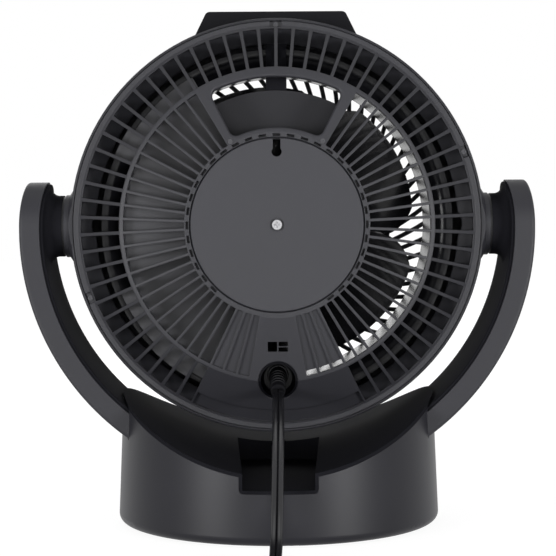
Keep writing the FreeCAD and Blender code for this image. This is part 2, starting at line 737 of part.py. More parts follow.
guard = turned(
    [(pilot, HUB_PLATE_REAR), (HUB_RING_INNER, HUB_PLATE_REAR), (HUB_RING_INNER, HUB_FACE)]
    + dome_outside
    + [
        (rim_edge, RIM_FACE),
        (rim_edge, flange_seat),
        (RIM_INNER + SKIRT_THICK, flange_seat),
        (RIM_INNER + SKIRT_THICK, SKIRT_FRONT),
        (RIM_INNER, SKIRT_FRONT),
    ]
    + dome_inside[::-1]
    + [(pilot, hub_plate_front)]
)
inner_steps = [(HUB_RING_OUTER, RIB_WIDTH_INNER), (INNER_GAP_END, RIB_WIDTH_INNER)]
outer_steps = [
    (OUTER_GAP_START, RIB_WIDTH_OUTER),
    (OUTER_GAP_END - RIB_END_LENGTH, RIB_WIDTH_OUTER),
    (OUTER_GAP_END, RIB_END_WIDTH),
]
bottom_rib = RIB_COUNT // 2
panel = range(bottom_rib - PANEL_RIBS, bottom_rib + PANEL_RIBS)
plain_panel = range(bottom_rib - PLAIN_PANEL_RIBS, bottom_rib + PLAIN_PANEL_RIBS)
handle_end = RIB_COUNT - HANDLE_FRAME_RIBS
outer_open = [i for i in range(RIB_COUNT) if i not in panel]
inner_open = [i for i in outer_open if HANDLE_FRAME_RIBS <= i < handle_end]
slope = turned(
    [
        (slope_start, -THROUGH),
        (slope_start, slope_top),
        (rim_step, RIM_FACE),
        (THROUGH, RIM_FACE),
        (THROUGH, -THROUGH),
    ]
)
gaps = [rib_gap(i, outer_steps).cut(slope) for i in outer_open]
gaps += [rib_gap(i, inner_steps) for i in inner_open]
blind_gaps = [rib_gap(i, inner_steps) for i in panel if i not in plain_panel]
blind_floor = under_dome(dome_outside, -BLIND_DEPTH)
gaps += [g.cut(blind_floor) for g in blind_gaps]
vent_steps = [(INNER_GAP_END - VENT_LENGTH, RIB_WIDTH_INNER), (INNER_GAP_END, RIB_WIDTH_INNER)]
gaps += [rib_gap(i, vent_steps) for i in panel if i < plain_panel.start]

panel_half = PANEL_RIBS * rib_pitch
step = sector(STEP_INNER, RIM_INNER - 0.5, -90 - panel_half, -90 + panel_half, 0, THROUGH)
step = step.cut(under_dome(dome_outside, -STEP_DEPTH))
room_half = panel_half - 0.5
step_room = sector(slope_start - 1, RIM_INNER, -90 - room_half, -90 + room_half, -THROUGH, THROUGH)
step_room = step_room.common(under_dome(dome_outside, -STEP_DEPTH - SLOPE_THICK))
notch_angles = [i * 360 / HUB_NOTCH_COUNT for i in range(HUB_NOTCH_COUNT)]
notch_angles = [a if a <= HUB_NOTCH_TO else a - 360 for a in notch_angles]
notch_half = HUB_NOTCH_ANGLE / 2
notch_inner = HUB_RING_INNER + 0.6
notch_outer = notch_inner + HUB_NOTCH_WIDTH
notch_floor = HUB_FACE - HUB_NOTCH_DEPTH
hub_notches = [
    sector(notch_inner, notch_outer, a - notch_half, a + notch_half, notch_floor, THROUGH)
    for a in notch_angles
    if a >= HUB_NOTCH_FROM
]
window = sector(
    HANDLE_INNER, HANDLE_OUTER, 90 - HANDLE_HALF_ANGLE, 90 + HANDLE_HALF_ANGLE, 0, THROUGH
)
window = window.makeFillet(HANDLE_CORNER, [e for e in window.Edges if e.BoundBox.YLength > 1])
guard = guard.cut(window)


def on_window_lip(edge):
    """Whether an edge runs round the hand-hole on the outer face of the dome."""
    points = [edge.valueAt(t) for t in edge.ParameterRange]
    points.append(edge.valueAt(sum(edge.ParameterRange) / 2))
    radii = [math.hypot(p.x, p.z) for p in points]
    if min(radii) < HANDLE_INNER - 1 or max(radii) > HANDLE_OUTER + 1:
        return False
    return all(abs(p.y - dome_face(r)) < 0.01 for p, r in zip(points, radii))


guard = guard.makeFillet(HANDLE_LIP, [e for e in guard.Edges if on_window_lip(e)])
cup_hole = along_y(CUP_RADIUS + SEAT_GAP, 0, THROUGH, 0, -CUP_DROP)
port_top = PORT_RISE - CUP_DROP
port_bottom = port_top - PORT_HEIGHT
port = block(PORT_GAP / 2, PORT_GAP / 2 + PORT_WIDTH, 0, THROUGH, port_bottom, port_top)
port_middle = (port_top + port_bottom) / 2
catch = block(-THROUGH, 0, 0, THROUGH, port_middle - CATCH_THICK / 2, port_middle + CATCH_THICK / 2)
rim_notch_half = math.degrees(RIM_NOTCH_WIDTH / 2 / RIM_SCREW_CIRCLE)
rim_notches = [
    sector(RIM_INNER, DRUM_RADIUS, a - rim_notch_half, a + rim_notch_half, rim_seats[0].y, THROUGH)
    for a in RIM_SCREW_ANGLES
]
keyhole = along_y(KEYHOLE_BULB, 0, THROUGH, 0, KEYHOLE_RADIUS)
keyhole = keyhole.fuse(block(-KEYHOLE_NECK, KEYHOLE_NECK, 0, THROUGH, KEYHOLE_RADIUS, HUB_RING_OUTER))
hanger_room = keyhole.common(along_y(HUB_RING_INNER - 1.5, 0, THROUGH))
guard = guard.cut(gaps + [hanger_room])
guard = guard.cut([step, step_room, cup_hole, port, mirrored(port).cut(catch)] + hub_notches + rim_notches)

flange_room = along_x(TRUNNION_FLANGE + 1.3, 0, THROUGH)
boss_rooms = [
    along_y(RIM_BOSS_RADIUS + SLIDING_GAP, flange_seat - RIM_BOSS_LENGTH - 1, flange_seat, p.x, p.z)
    for p in (polar(RIM_SCREW_CIRCLE, a) for a in RIM_SCREW_ANGLES)
]
motor_screw_length = 6.0
motor_seats = [polar(MOTOR_SCREW_CIRCLE, a, HUB_PLATE_REAR) for a in (90, 210, 330)]
motor_pilots = [
    along_y(small_pilot, HUB_PLATE_REAR - motor_screw_length, THROUGH, p.x, p.z) for p in motor_seats
]
pocket_head = dome_face(HANDLE_SCREW_RADIUS) - M2_HEAD_THICK - 0.4
pocket_seats = [polar(HANDLE_SCREW_RADIUS, a, pocket_head) for a in HANDLE_SCREW_ANGLES]
pocket_screw_length = 14.0
pocket_pilots = [
    along_y(tiny_pilot, pocket_head - pocket_screw_length, THROUGH, p.x, p.z) for p in pocket_seats
]
pocket_sinks = [along_y(M2_HEAD + SEAT_GAP, pocket_head, THROUGH, p.x, p.z) for p in pocket_seats]
guard = guard.cut([flange_room, mirrored(flange_room)] + boss_rooms + rim_pilots + motor_pilots)
guard = guard.cut(pocket_pilots + pocket_sinks)
save_head("rear_grille", guard)

inward = V(0, -1, 0)
rim_screws = [screw(M2_HEAD, M2_HEAD_THICK, M2_RADIUS, rim_screw_length, s, inward) for s in rim_seats]
save_head("rim_screws", Part.makeCompound(rim_screws))
motor_screws = [
    screw(M3_HEAD, M3_HEAD_THICK, M3_RADIUS, motor_screw_length, s, inward) for s in motor_seats
]
save_head("motor_screws", Part.makeCompound(motor_screws))
pocket_screws = [
    screw(M2_HEAD, M2_HEAD_THICK, M2_RADIUS, pocket_screw_length, s, inward) for s in pocket_seats
]
save_head("pocket_screws", Part.makeCompound(pocket_screws))

# Hub cover with a keyhole at its top

cover_edge = HUB_RING_INNER - 0.4
cover_rear = HUB_COVER_FACE - HUB_COVER_THICK
sink_floor = HUB_COVER_FACE - HUB_COVER_SINK
hub_cover = turned(
    [
        (pilot, HUB_PLATE_REAR),
        (2 * HUB_COVER_BORE, HUB_PLATE_REAR),
        (2 * HUB_COVER_BORE, cover_rear),
        (cover_edge - HUB_COVER_SKIRT, cover_rear),
        (cover_edge - HUB_COVER_SKIRT, HUB_PLATE_REAR),
        (cover_edge, HUB_PLATE_REAR),
        (cover_edge, HUB_COVER_FACE - 0.8),
        (cover_edge - 0.8, HUB_COVER_FACE),
        (HUB_COVER_BORE, HUB_COVER_FACE),
        (HUB_COVER_BORE, sink_floor),
        (pilot, sink_floor),
    ]
)
save_head("hub_cover", hub_cover.cut(keyhole))
hub_screw_length = sink_floor - hub_plate_front + MOTOR_BACK_WALL - 0.5
hub_screw = screw(M4_HEAD, M4_HEAD_THICK, M4_RADIUS, hub_screw_length, V(0, sink_floor, 0), inward)
save_head("hub_screw", hub_screw)

# Pocket behind the hand-hole, and the wire channel above it

pocket_from = 90 - POCKET_HALF_ANGLE
pocket_to = 90 + POCKET_HALF_ANGLE
pocket_inner = HANDLE_INNER - POCKET_WALL - 0.5
pocket = sector(pocket_inner, POCKET_OUTER, pocket_from, pocket_to, POCKET_FLOOR, HUB_FACE)
pocket_room = sector(
    pocket_inner + POCKET_WALL,
    POCKET_OUTER + 1,
    pocket_from + 2,
    pocket_to - 2,
    POCKET_FLOOR + POCKET_WALL,
    HUB_FACE,
)
pocket = pocket.cut(pocket_room)
pocket_bosses = [
    along_y(POCKET_BOSS_RADIUS, POCKET_BOSS_FRONT, HUB_FACE, p.x, p.z) for p in pocket_seats
]
pocket = pocket.fuse(pocket_bosses).common(under_dome(dome_inside, -SEAT_GAP)).cut(pocket_pilots)
save_head("handle_pocket", pocket)

wire_half = WIRE_CHANNEL_WIDTH / 2
wire_channel = block(
    -wire_half,
    wire_half,
    DUCT_FLANGE_FACE,
    DUCT_FLANGE_FACE + WIRE_CHANNEL_HEIGHT,
    POCKET_OUTER + 2 * SEAT_GAP,
    WIRE_CHANNEL_END,
)
save_head("wire_channel", wire_channel.common(under_dome(dome_inside, -SEAT_GAP)))

# Cord cup in the rear guard and the ribbed gland in it

cup = along_y(CUP_RADIUS, CUP_FLOOR, THROUGH, 0, -CUP_DROP)
gland_face = CUP_FLOOR + CUP_FLOOR_THICK
cup_room = along_y(CUP_RADIUS - CUP_WALL, gland_face, THROUGH, 0, -CUP_DROP)
cup_room = cup_room.makeFillet(CUP_EDGE, [e for e in cup_room.Edges if e.BoundBox.YMax < gland_face + 1e-3])
cup = cup.cut(cup_room).common(under_dome(dome_outside, 0.3))
gland_z = GLAND_RISE - CUP_DROP
cup = cup.cut(along_y(CORD_WIDTH / 2 + SEAT_GAP, 0, THROUGH, 0, gland_z))
save_head("cord_cup", cup)

gland = along_y(GLAND_FLANGE, gland_face, gland_face + GLAND_FLANGE_THICK, 0, gland_z)
gland = gland.makeFillet(GLAND_FLANGE_EDGE, [e for e in gland.Edges if e.BoundBox.YMin > gland_face + 1])
groove_pitch = (GLAND_LENGTH - 9) / GLAND_RIBS


def boot_radius(y):
    return GLAND_ROOT + (GLAND_TIP - GLAND_ROOT) * y / GLAND_LENGTH


boot_outline = [(0, 0), (GLAND_ROOT, 0)]
for i in range(GLAND_RIBS):
    start = 6 + i * groove_pitch
    end = start + groove_pitch * 0.4
    boot_outline.append((boot_radius(start), start))
    boot_outline.append((boot_radius(start) - 0.9, start + 0.3))
    boot_outline.append((boot_radius(end) - 0.9, end - 0.3))
    boot_outline.append((boot_radius(end), end))
boot_outline += [(GLAND_TIP, GLAND_LENGTH), (0, GLAND_LENGTH)]
boot = turned(boot_outline)
boot.rotate(V(0, 0, 0), V(1, 0, 0), -GLAND_DROOP)
boot.translate(V(0, gland_face + GLAND_FLANGE_THICK / 3, gland_z))
boot = boot.cut(block(-GLAND_ROOT, GLAND_ROOT, 0, gland_face, gland_z - GLAND_FLANGE, gland_z + GLAND_FLANGE))
save_head("cord_gland", gland.fuse(boot))

# Air duct round the fan


def turned_edges(edges):
    return Part.Face(Part.Wire(edges)).revolve(V(0, 0, 0), V(0, 1, 0), 360)


def corner_arc(centre, radius, a0, a1):
    """An arc in the outline of a turned piece."""
    angles = [math.radians(a) for a in (a0, (a0 + a1) / 2, a1)]
    points = [centre + V(math.cos(a), math.sin(a), 0) * radius for a in angles]
    return Part.Arc(*points).toShape()


duct_outer = DUCT_RADIUS + DUCT_WALL
duct_flange_radius = DUCT_RADIUS + DUCT_MOUTH + DUCT_LIP
mouth_centre = V(DUCT_RADIUS + DUCT_MOUTH, DUCT_FLANGE_FACE - DUCT_MOUTH, 0)
mouth_start = DUCT_FLANGE_FACE - DUCT_MOUTH
flange_front = DUCT_FLANGE_FACE - DUCT_WALL
duct = turned_edges(
    [
        line(V(DUCT_RADIUS, DUCT_FRONT, 0), V(DUCT_RADIUS, mouth_start, 0)),
        corner_arc(mouth_centre, DUCT_MOUTH, 180, 90),
        line(V(mouth_centre.x, DUCT_FLANGE_FACE, 0), V(duct_flange_radius, DUCT_FLANGE_FACE, 0)),
        line(V(duct_flange_radius, DUCT_FLANGE_FACE, 0), V(duct_flange_radius, flange_front, 0)),
        line(V(duct_flange_radius, flange_front, 0), V(mouth_centre.x, flange_front, 0)),
        corner_arc(mouth_centre, DUCT_MOUTH - DUCT_WALL, 90, 180),
        line(V(duct_outer, mouth_start, 0), V(duct_outer, DUCT_FRONT, 0)),
        line(V(duct_outer, DUCT_FRONT, 0), V(DUCT_RADIUS, DUCT_FRONT, 0)),
    ]
)
save_head("fan_duct", duct)

# Front bezel and front guard with leaning bars

web_front = DUCT_FRONT - WEB_THICK
spigot_outer = drum_inner - SLIDING_GAP
spigot_inner = spigot_outer - WEB_THICK
bezel_corner = V(DRUM_RADIUS - BEZEL_EDGE, BEZEL_FACE + BEZEL_EDGE, 0)
bezel_outline = [
    (DRUM_RADIUS - BEZEL_EDGE, BEZEL_FACE),
    (BEZEL_INNER, BEZEL_FACE),
    (BEZEL_INNER, web_front),
    (DUCT_RADIUS, web_front),
    (DUCT_RADIUS, DUCT_FRONT),
    (spigot_inner, DUCT_FRONT),
    (spigot_inner, DRUM_FRONT + SPIGOT_LENGTH),
    (spigot_outer, DRUM_FRONT + SPIGOT_LENGTH),
    (spigot_outer, DRUM_FRONT),
    (DRUM_RADIUS, DRUM_FRONT),
    (DRUM_RADIUS, BEZEL_FACE + BEZEL_EDGE),
]
bezel_points = [V(radius, y, 0) for radius, y in bezel_outline]
bezel_edges = [line(a, b) for a, b in zip(bezel_points, bezel_points[1:])]
save_head("front_bezel", turned_edges(bezel_edges + [corner_arc(bezel_corner, BEZEL_EDGE, 0, -90)]))

front_edge = BEZEL_INNER - SLIDING_GAP
front_guard = turned(
    [
        (0, FRONT_HUB_FACE),
        (FRONT_HUB_RADIUS, FRONT_HUB_FACE),
        (FRONT_MID_RADIUS, FRONT_MID_FACE),
        (FRONT_RIM_RADIUS, FRONT_RIM_FACE),
        (front_edge, FRONT_RIM_FACE + 4),
        (front_edge, web_front),
        (front_edge - 4, web_front),
        (front_edge - 4, FRONT_RIM_FACE + FRONT_GUARD_THICK + 2),
        (FRONT_RIM_RADIUS - 3, FRONT_RIM_FACE + FRONT_GUARD_THICK),
        (FRONT_MID_RADIUS, FRONT_MID_FACE + FRONT_GUARD_THICK),
        (FRONT_HUB_RADIUS, FRONT_HUB_FACE + FRONT_GUARD_THICK),
        (0, FRONT_HUB_FACE + FRONT_GUARD_THICK),
    ]
)
bar_lean = math.radians(FRONT_BAR_LEAN)


def leaning_gap(index, count, r0, r1):
    """A gap of the front guard between two bars that lean back as they run outwards."""

    def side(radius, sign):
        turn = math.tan(bar_lean) * math.log(radius / r0)
        half = math.pi / count - FRONT_BAR_WIDTH / (2 * radius * math.cos(bar_lean))
        angle = 2 * math.pi * index / count - turn + sign * half
        return polar(radius, math.degrees(angle), -THROUGH)

    middle = math.sqrt(r0 * r1)
    edges = [
        Part.Arc(side(r0, 1), side(middle, 1), side(r1, 1)).toShape(),
        line(side(r1, 1), side(r1, -1)),
        Part.Arc(side(r1, -1), side(middle, -1), side(r0, -1)).toShape(),
        line(side(r0, -1), side(r0, 1)),
    ]
    return Part.Face(Part.Wire(edges)).extrude(V(0, THROUGH, 0))


inner_from = FRONT_HUB_RADIUS + FRONT_GAP_INSET
inner_to = FRONT_MID_RADIUS - FRONT_GAP_INSET
outer_from = FRONT_MID_RADIUS + FRONT_GAP_INSET
outer_to = FRONT_RIM_RADIUS - FRONT_GAP_INSET
inner_bars = FRONT_BARS // 2
front_gaps = [leaning_gap(i, inner_bars, inner_from, inner_to) for i in range(inner_bars)]
front_gaps += [leaning_gap(i, FRONT_BARS, outer_from, outer_to) for i in range(FRONT_BARS)]
save_head("front_grille", front_guard.cut(front_gaps))

cap = along_y(CAP_RADIUS, FRONT_HUB_FACE - CAP_THICK, FRONT_HUB_FACE)
cap_rim = [e for e in cap.Edges if e.BoundBox.YMax < FRONT_HUB_FACE - 1]
save_head("front_hub_cap", cap.makeFillet(CAP_THICK / 2, cap_rim))

# Electronics in the closed half of the head: a tray on the duct, a board and a cover

tray_rear = DUCT_FLANGE_FACE + TRAY_THICK
ear_angles = [(BOX_FROM + 8, BOX_FROM + 23), (BOX_BITE_TO + 0.5, BOX_HIGH_TO + 5)]
bite = sector(MID_RING_RADIUS, THROUGH, BOX_BITE_FROM, BOX_BITE_TO, 0, THROUGH)


def ears(y0, y1):
    """The feet of the box, which reach over the lip of the duct."""
    return [sector(BOX_LOW_OUTER - BOX_WALL, duct_flange_radius, a0, a1, y0, y1) for a0, a1 in ear_angles]


tray = sector(BOX_INNER, BOX_LOW_OUTER, BOX_FROM, BOX_TO, DUCT_FLANGE_FACE, tray_rear).cut(bite)
board_face = tray_rear + BOARD_RISE
board_outer = MID_RING_RADIUS - 4
board_post_places = [
    polar(radius, angle)
    for radius in (BOX_INNER + 8, board_outer - 4)
    for angle in (BOX_FROM + 12, BOX_TO - 12)
]
board_posts = [along_y(2.5, tray_rear - 1, board_face, p.x, p.z) for p in board_post_places]
save_head("electronics_tray", tray.fuse(board_posts + ears(DUCT_FLANGE_FACE, tray_rear)))


def box(inset, low_face, high_face):
    """The stepped body of the electronics cover, set in from its outer faces."""
    turn = math.degrees(inset / BOX_INNER)
    inner = BOX_INNER + inset
    low = sector(inner, BOX_LOW_OUTER - inset, BOX_FROM + turn, BOX_TO - turn, tray_rear, low_face)
    low = low.cut(
        sector(MID_RING_RADIUS - inset, THROUGH, BOX_BITE_FROM - turn, BOX_BITE_TO + turn, 0, THROUGH)
    )
    high_from = BOX_HIGH_FROM + turn
    high_to = BOX_HIGH_TO - turn
    return low.fuse(sector(inner, BOX_HIGH_OUTER - inset, high_from, high_to, tray_rear, high_face))


cover = box(0, BOX_LOW_FACE, BOX_HIGH_FACE).fuse(ears(tray_rear, BOX_LOW_FACE - 4))
save_head("electronics_cover", cover.cut(box(BOX_WALL, BOX_LOW_FACE - BOX_WALL, BOX_HIGH_FACE - BOX_WALL)))

board_rear = board_face + BOARD_THICK
board = sector(BOX_INNER + 4, board_outer, BOX_FROM + 6, BOX_TO - 6, board_face, board_rear)
capacitor = polar((BOX_INNER + BOX_HIGH_OUTER) / 2, BOX_HIGH_TO - 14)
transformer = polar((BOX_INNER + BOX_HIGH_OUTER) / 2, BOX_HIGH_FROM + 16)
board = board.fuse(
    [
        along_y(7, board_face, BOX_HIGH_FACE - BOX_WALL - 1, capacitor.x, capacitor.z),
        block(
            transformer.x - 9,
            transformer.x + 9,
            board_face,
            BOX_HIGH_FACE - BOX_WALL - 2,
            transformer.z - 9,
            transformer.z + 9,
        ),
    ]
)
save_head("power_board", board)

# Heater in the duct, in front of the closed half

heater_side = HEATER_NEAR + HEATER_FRAME_WALL
heater_end = HEATER_FAR - HEATER_FRAME_WALL
heater_half = HEATER_HALF_HEIGHT - HEATER_FRAME_WALL
heater_frame = block(
    HEATER_NEAR, HEATER_FAR, HEATER_FRONT, HEATER_REAR, -HEATER_HALF_HEIGHT, HEATER_HALF_HEIGHT
)
heater_frame = heater_frame.cut(
    block(heater_side, heater_end, HEATER_FRONT - 1, HEATER_REAR + 1, -heater_half, heater_half)
)
lug = block(
    heater_end + 1, DUCT_RADIUS, HEATER_FRONT + 4, HEATER_REAR - 4, -HEATER_LUG_HALF, HEATER_LUG_HALF
)
lug = lug.common(along_y(DUCT_RADIUS - SEAT_GAP, -THROUGH, THROUGH))
save_head("heater_frame", heater_frame.fuse(lug))

fin_front = HEATER_FRONT + 2
fin_rear = HEATER_REAR - 2
fin_count = int((heater_end - heater_side) / FIN_PITCH)
fins = [
    block(x, x + FIN_THICK, fin_front, fin_rear, -heater_half, heater_half)
    for x in (heater_side + FIN_PITCH * (i + 0.5) for i in range(fin_count))
]
fin_bars = [
    block(heater_side, heater_end, fin_front + 1, fin_rear - 1, z - FIN_BAR_WIDTH / 2, z + FIN_BAR_WIDTH / 2)
    for z in (-heater_half / 2, heater_half / 2)
]
save_head("heater_fins", fin_bars[0].fuse(fin_bars[1:] + fins))
cutout_x = (HEATER_NEAR + HEATER_FAR) / 2
cutout_y = (HEATER_FRONT + HEATER_REAR) / 2
cutout = along_z(CUTOUT_RADIUS, HEATER_HALF_HEIGHT, HEATER_HALF_HEIGHT + CUTOUT_LENGTH, cutout_x, cutout_y)
save_head("thermal_cutout", cutout)

# Motor behind the fan, under the hub plate

motor_inner = MOTOR_RADIUS - MOTOR_WALL
motor_floor = MOTOR_FRONT + MOTOR_WALL
motor_back = hub_plate_front - MOTOR_BACK_WALL
bearing_seat = BEARING_RADIUS + RUNNING_FIT
housing = along_y(MOTOR_RADIUS, MOTOR_FRONT, hub_plate_front)
housing = housing.cut(along_y(motor_inner, motor_floor, motor_back))
rear_bearing = SHAFT_REAR - BEARING_LENGTH
housing = housing.fuse(
    [
        along_y(BEARING_RADIUS + 3, motor_floor - 1, motor_floor + BEARING_LENGTH),
        along_y(BEARING_RADIUS + 3, rear_bearing, motor_back + 1),
    ]
)
housing = housing.cut(
    [
        along_y(bearing_seat, motor_floor, motor_floor + BEARING_LENGTH),
        along_y(bearing_seat, rear_bearing, SHAFT_REAR),
        along_y(SHAFT_RADIUS + SLIDING_GAP, 0, motor_floor + 1),
        along_y(pilot, sink_floor - hub_screw_length, THROUGH),
    ]
    + motor_pilots
)
save_head("motor_housing", housing)

shaft_bore = SHAFT_RADIUS + RUNNING_FIT
bearings = [
    along_y(BEARING_RADIUS, y, y + BEARING_LENGTH).cut(along_y(shaft_bore, y, y + BEARING_LENGTH))
    for y in (motor_floor, rear_bearing)
]
save_head("motor_bearings", Part.makeCompound(bearings))

rotor_front = motor_floor + BEARING_LENGTH + 1
stator = along_y(motor_inner - SEAT_GAP, rotor_front, ROTOR_REAR)
save_head("motor_stator", stator.cut(along_y(ROTOR_RADIUS + AIR_GAP, 0, THROUGH)))

press_bore = SHAFT_RADIUS + 0.01
rotor = along_y(ROTOR_RADIUS, rotor_front + 0.2, ROTOR_REAR - 0.2)
save_head("motor_rotor", rotor.cut(along_y(press_bore, 0, THROUGH)))

fan_front = FAN_MIDDLE - FAN_HUB_HALF
fan_rear = FAN_MIDDLE + FAN_HUB_HALF
shaft_front = fan_front - NUT_LENGTH + 2
save_head("motor_shaft", along_y(SHAFT_RADIUS, shaft_front, SHAFT_REAR))

# Fan: a cup hub with five cambered blades


def blade_section(radius, chord, pitch):
    """The outline of a blade at a radius, for a blade that points up."""
    a = math.radians(pitch)

    def place(along, rise):
        rise -= BLADE_CAMBER / 2
        across = along * math.cos(a) - rise * math.sin(a)
        return V(across, FAN_MIDDLE + along * math.sin(a) + rise * math.cos(a), radius)

    end = chord / 2
    half = BLADE_THICK / 2
    edges = [
        Part.Arc(place(-end, -half), place(0, BLADE_CAMBER - half), place(end, -half)).toShape(),
        line(place(end, -half), place(end, half)),
        Part.Arc(place(end, half), place(0, BLADE_CAMBER + half), place(-end, half)).toShape(),
        line(place(-end, half), place(-end, -half)),
    ]
    return Part.Wire(edges)


blade = Part.makeLoft(
    [
        blade_section(0.2 * FAN_RADIUS, 40, 40),
        blade_section(0.43 * FAN_RADIUS, 74, 31),
        blade_section(0.67 * FAN_RADIUS, 104, 22),
        blade_section(0.88 * FAN_RADIUS, 93, 22),
        blade_section(1.02 * FAN_RADIUS, 54, 21),
    ],
    True,
)
blade = blade.common(along_y(FAN_RADIUS, -THROUGH, THROUGH))
blade = blade.cut(along_y(FAN_HUB_RADIUS - FAN_HUB_WALL / 2, -THROUGH, THROUGH))
blades = []
for i in range(FAN_BLADES):
    turned_blade = blade.copy()
    turned_blade.rotate(V(0, 0, 0), V(0, 1, 0), -BLADE_TURN - i * 360 / FAN_BLADES)
    blades.append(turned_blade)
hub = along_y(FAN_HUB_RADIUS, fan_front, fan_rear)
hub = hub.makeFillet(2 * FAN_HUB_WALL, [e for e in hub.Edges if e.BoundBox.YMax < fan_front + 1e-3])
hub = hub.cut(along_y(FAN_HUB_RADIUS - FAN_HUB_WALL, fan_front + FAN_HUB_WALL, fan_rear))
hub = hub.fuse([along_y(FAN_BORE_BOSS, fan_front, FAN_MIDDLE + FAN_HUB_HALF / 2)] + blades)
save_head("fan_impeller", hub.cut(along_y(press_bore, -THROUGH, THROUGH)))

nut = along_y(NUT_RADIUS, fan_front - NUT_LENGTH, fan_front)
nut = nut.makeFillet(2, [e for e in nut.Edges if e.BoundBox.YMax < fan_front - 1])
save_head("fan_nut", nut.cut(along_y(press_bore, shaft_front, fan_front)))

# Control pod on top of the drum, with a panel, a display and four push buttons

pod_low = DRUM_RADIUS * 0.86
pod_low_half = POD_HALF_WIDTH + (POD_TOP - pod_low) * POD_SLOPE
pod = prism(
    [
        V(-POD_HALF_WIDTH, POD_FRONT, POD_TOP),
        V(POD_HALF_WIDTH, POD_FRONT, POD_TOP),
        V(pod_low_half, POD_FRONT, pod_low),
        V(-pod_low_half, POD_FRONT, pod_low),
    ],
    V(0, POD_REAR - POD_FRONT, 0),
)
pod_sides = [e for e in pod.Edges if e.BoundBox.YLength > 1 and e.BoundBox.ZMin > POD_TOP - 1]
pod = pod.makeFillet(POD_CORNER, pod_sides)
panel_rear = POD_TOP - POD_PANEL_RECESS
panel_seat = panel_rear - POD_PANEL_THICK
panel_half_width = POD_HALF_WIDTH - POD_RIM
ledge_half = POD_HALF_WIDTH - POD_LEDGE
pod = pod.cut(
    [
        along_y(DRUM_RADIUS, -THROUGH, THROUGH),
        block(
            -panel_half_width, panel_half_width, POD_FRONT + POD_RIM, POD_REAR - POD_RIM, panel_seat, THROUGH
        ),
        block(-ledge_half, ledge_half, pod_opening_front, pod_opening_rear, 0, THROUGH),
    ]
)
save_head("control_pod", pod)

pod_middle = (POD_FRONT + POD_REAR) / 2
switch_top = panel_seat - BUTTON_FLANGE_THICK - BUTTON_TRAVEL - SLIDING_GAP
board_top = switch_top - SWITCH_HEIGHT
pod_panel = block(
    SEAT_GAP - panel_half_width,
    panel_half_width - SEAT_GAP,
    POD_FRONT + POD_RIM + SEAT_GAP,
    POD_REAR - POD_RIM - SEAT_GAP,
    panel_seat,
    panel_rear,
)
panel_posts = [
    along_z(BOARD_POST_RADIUS, board_top, panel_seat + 1, x, y)
    for x in (-BOARD_POST_X, BOARD_POST_X)
    for y in (pod_middle - BOARD_POST_Y, pod_middle + BOARD_POST_Y)
]


def display_block(grow, z0, z1):
    wide = DISPLAY_HALF_WIDTH + grow
    deep = DISPLAY_HALF_DEPTH + grow
    return block(-wide, wide, pod_middle - deep, pod_middle + deep, z0, z1)


button_holes = [
    along_z(BUTTON_RADIUS + SLIDING_GAP, 0, THROUGH, x, pod_middle) for x in BUTTON_PLACES.values()
]
pod_panel = pod_panel.fuse(panel_posts).cut(button_holes + [display_block(SEAT_GAP, 0, THROUGH)])
save_head("pod_panel", pod_panel)

display = display_block(DISPLAY_FLANGE, panel_seat - DISPLAY_FLANGE_THICK, panel_seat)
save_head("display_window", display.fuse(display_block(0, panel_seat - 0.5, panel_rear)))

control_board = block(
    1 - ledge_half,
    ledge_half - 1,
    pod_opening_front + 1,
    pod_opening_rear - 1,
    board_top - BOARD_THICK,
    board_top,
)
control_board = control_board.common(
    block(2 - POD_OPENING_HALF, POD_OPENING_HALF - 2, -THROUGH, THROUGH, 0, THROUGH)
)
switch_half = SWITCH_SIDE / 2
switch_front = pod_middle - switch_half
switch_rear = pod_middle + switch_half
switches = [
    block(x - switch_half, x + switch_half, switch_front, switch_rear, board_top - 0.5, switch_top)
    for x in BUTTON_PLACES.values()
]
save_head("control_board", control_board.fuse(switches))

for name, x in BUTTON_PLACES.items():
    button = along_z(BUTTON_RADIUS, panel_seat - 0.5, panel_rear + BUTTON_PROUD, x, pod_middle)
    button_edge = [e for e in button.Edges if e.BoundBox.ZMin > panel_rear]
    button = button.makeFillet(BUTTON_PROUD / 2, button_edge)
    flange = along_z(BUTTON_FLANGE, panel_seat - BUTTON_FLANGE_THICK, panel_seat, x, pod_middle)
    save_head("button_" + name, button.fuse(flange))

# Mains cord from the gland down past the base to the floor, then a tied coil with the plug

cord_radius = CORD_WIDTH / 2


def cord_tube(edges):
    """A round cord along a path of straight runs and arcs."""
    path = Part.Wire(edges)
    start = edges[0].valueAt(edges[0].FirstParameter)
    heading = edges[0].tangentAt(edges[0].FirstParameter)
    profile = Part.Wire(Part.makeCircle(cord_radius, start, heading))
    return path.makePipeShell([profile], True, False)


def rounded_path(points):
    """Straight runs between the points, joined by tangent arcs."""
    edges = []
    radii = []
    start = points[0]
    for before, corner, after in zip(points, points[1:], points[2:]):
        back = before - corner
        onward = after - corner
        reach = 0.45 * min(back.Length, onward.Length)
        back.normalize()
        onward.normalize()
        half_turn = (math.pi - back.getAngle(onward)) / 2
        radius = reach / math.tan(half_turn)
        middle = back + onward
        middle.normalize()
        top = corner + middle * (radius / math.cos(half_turn) - radius)
        edges.append(line(start, corner + back * reach))
        edges.append(Part.Arc(corner + back * reach, top, corner + onward * reach).toShape())
        start = corner + onward * reach
        radii.append(radius)
    edges.append(line(start, points[-1]))
    return edges, radii


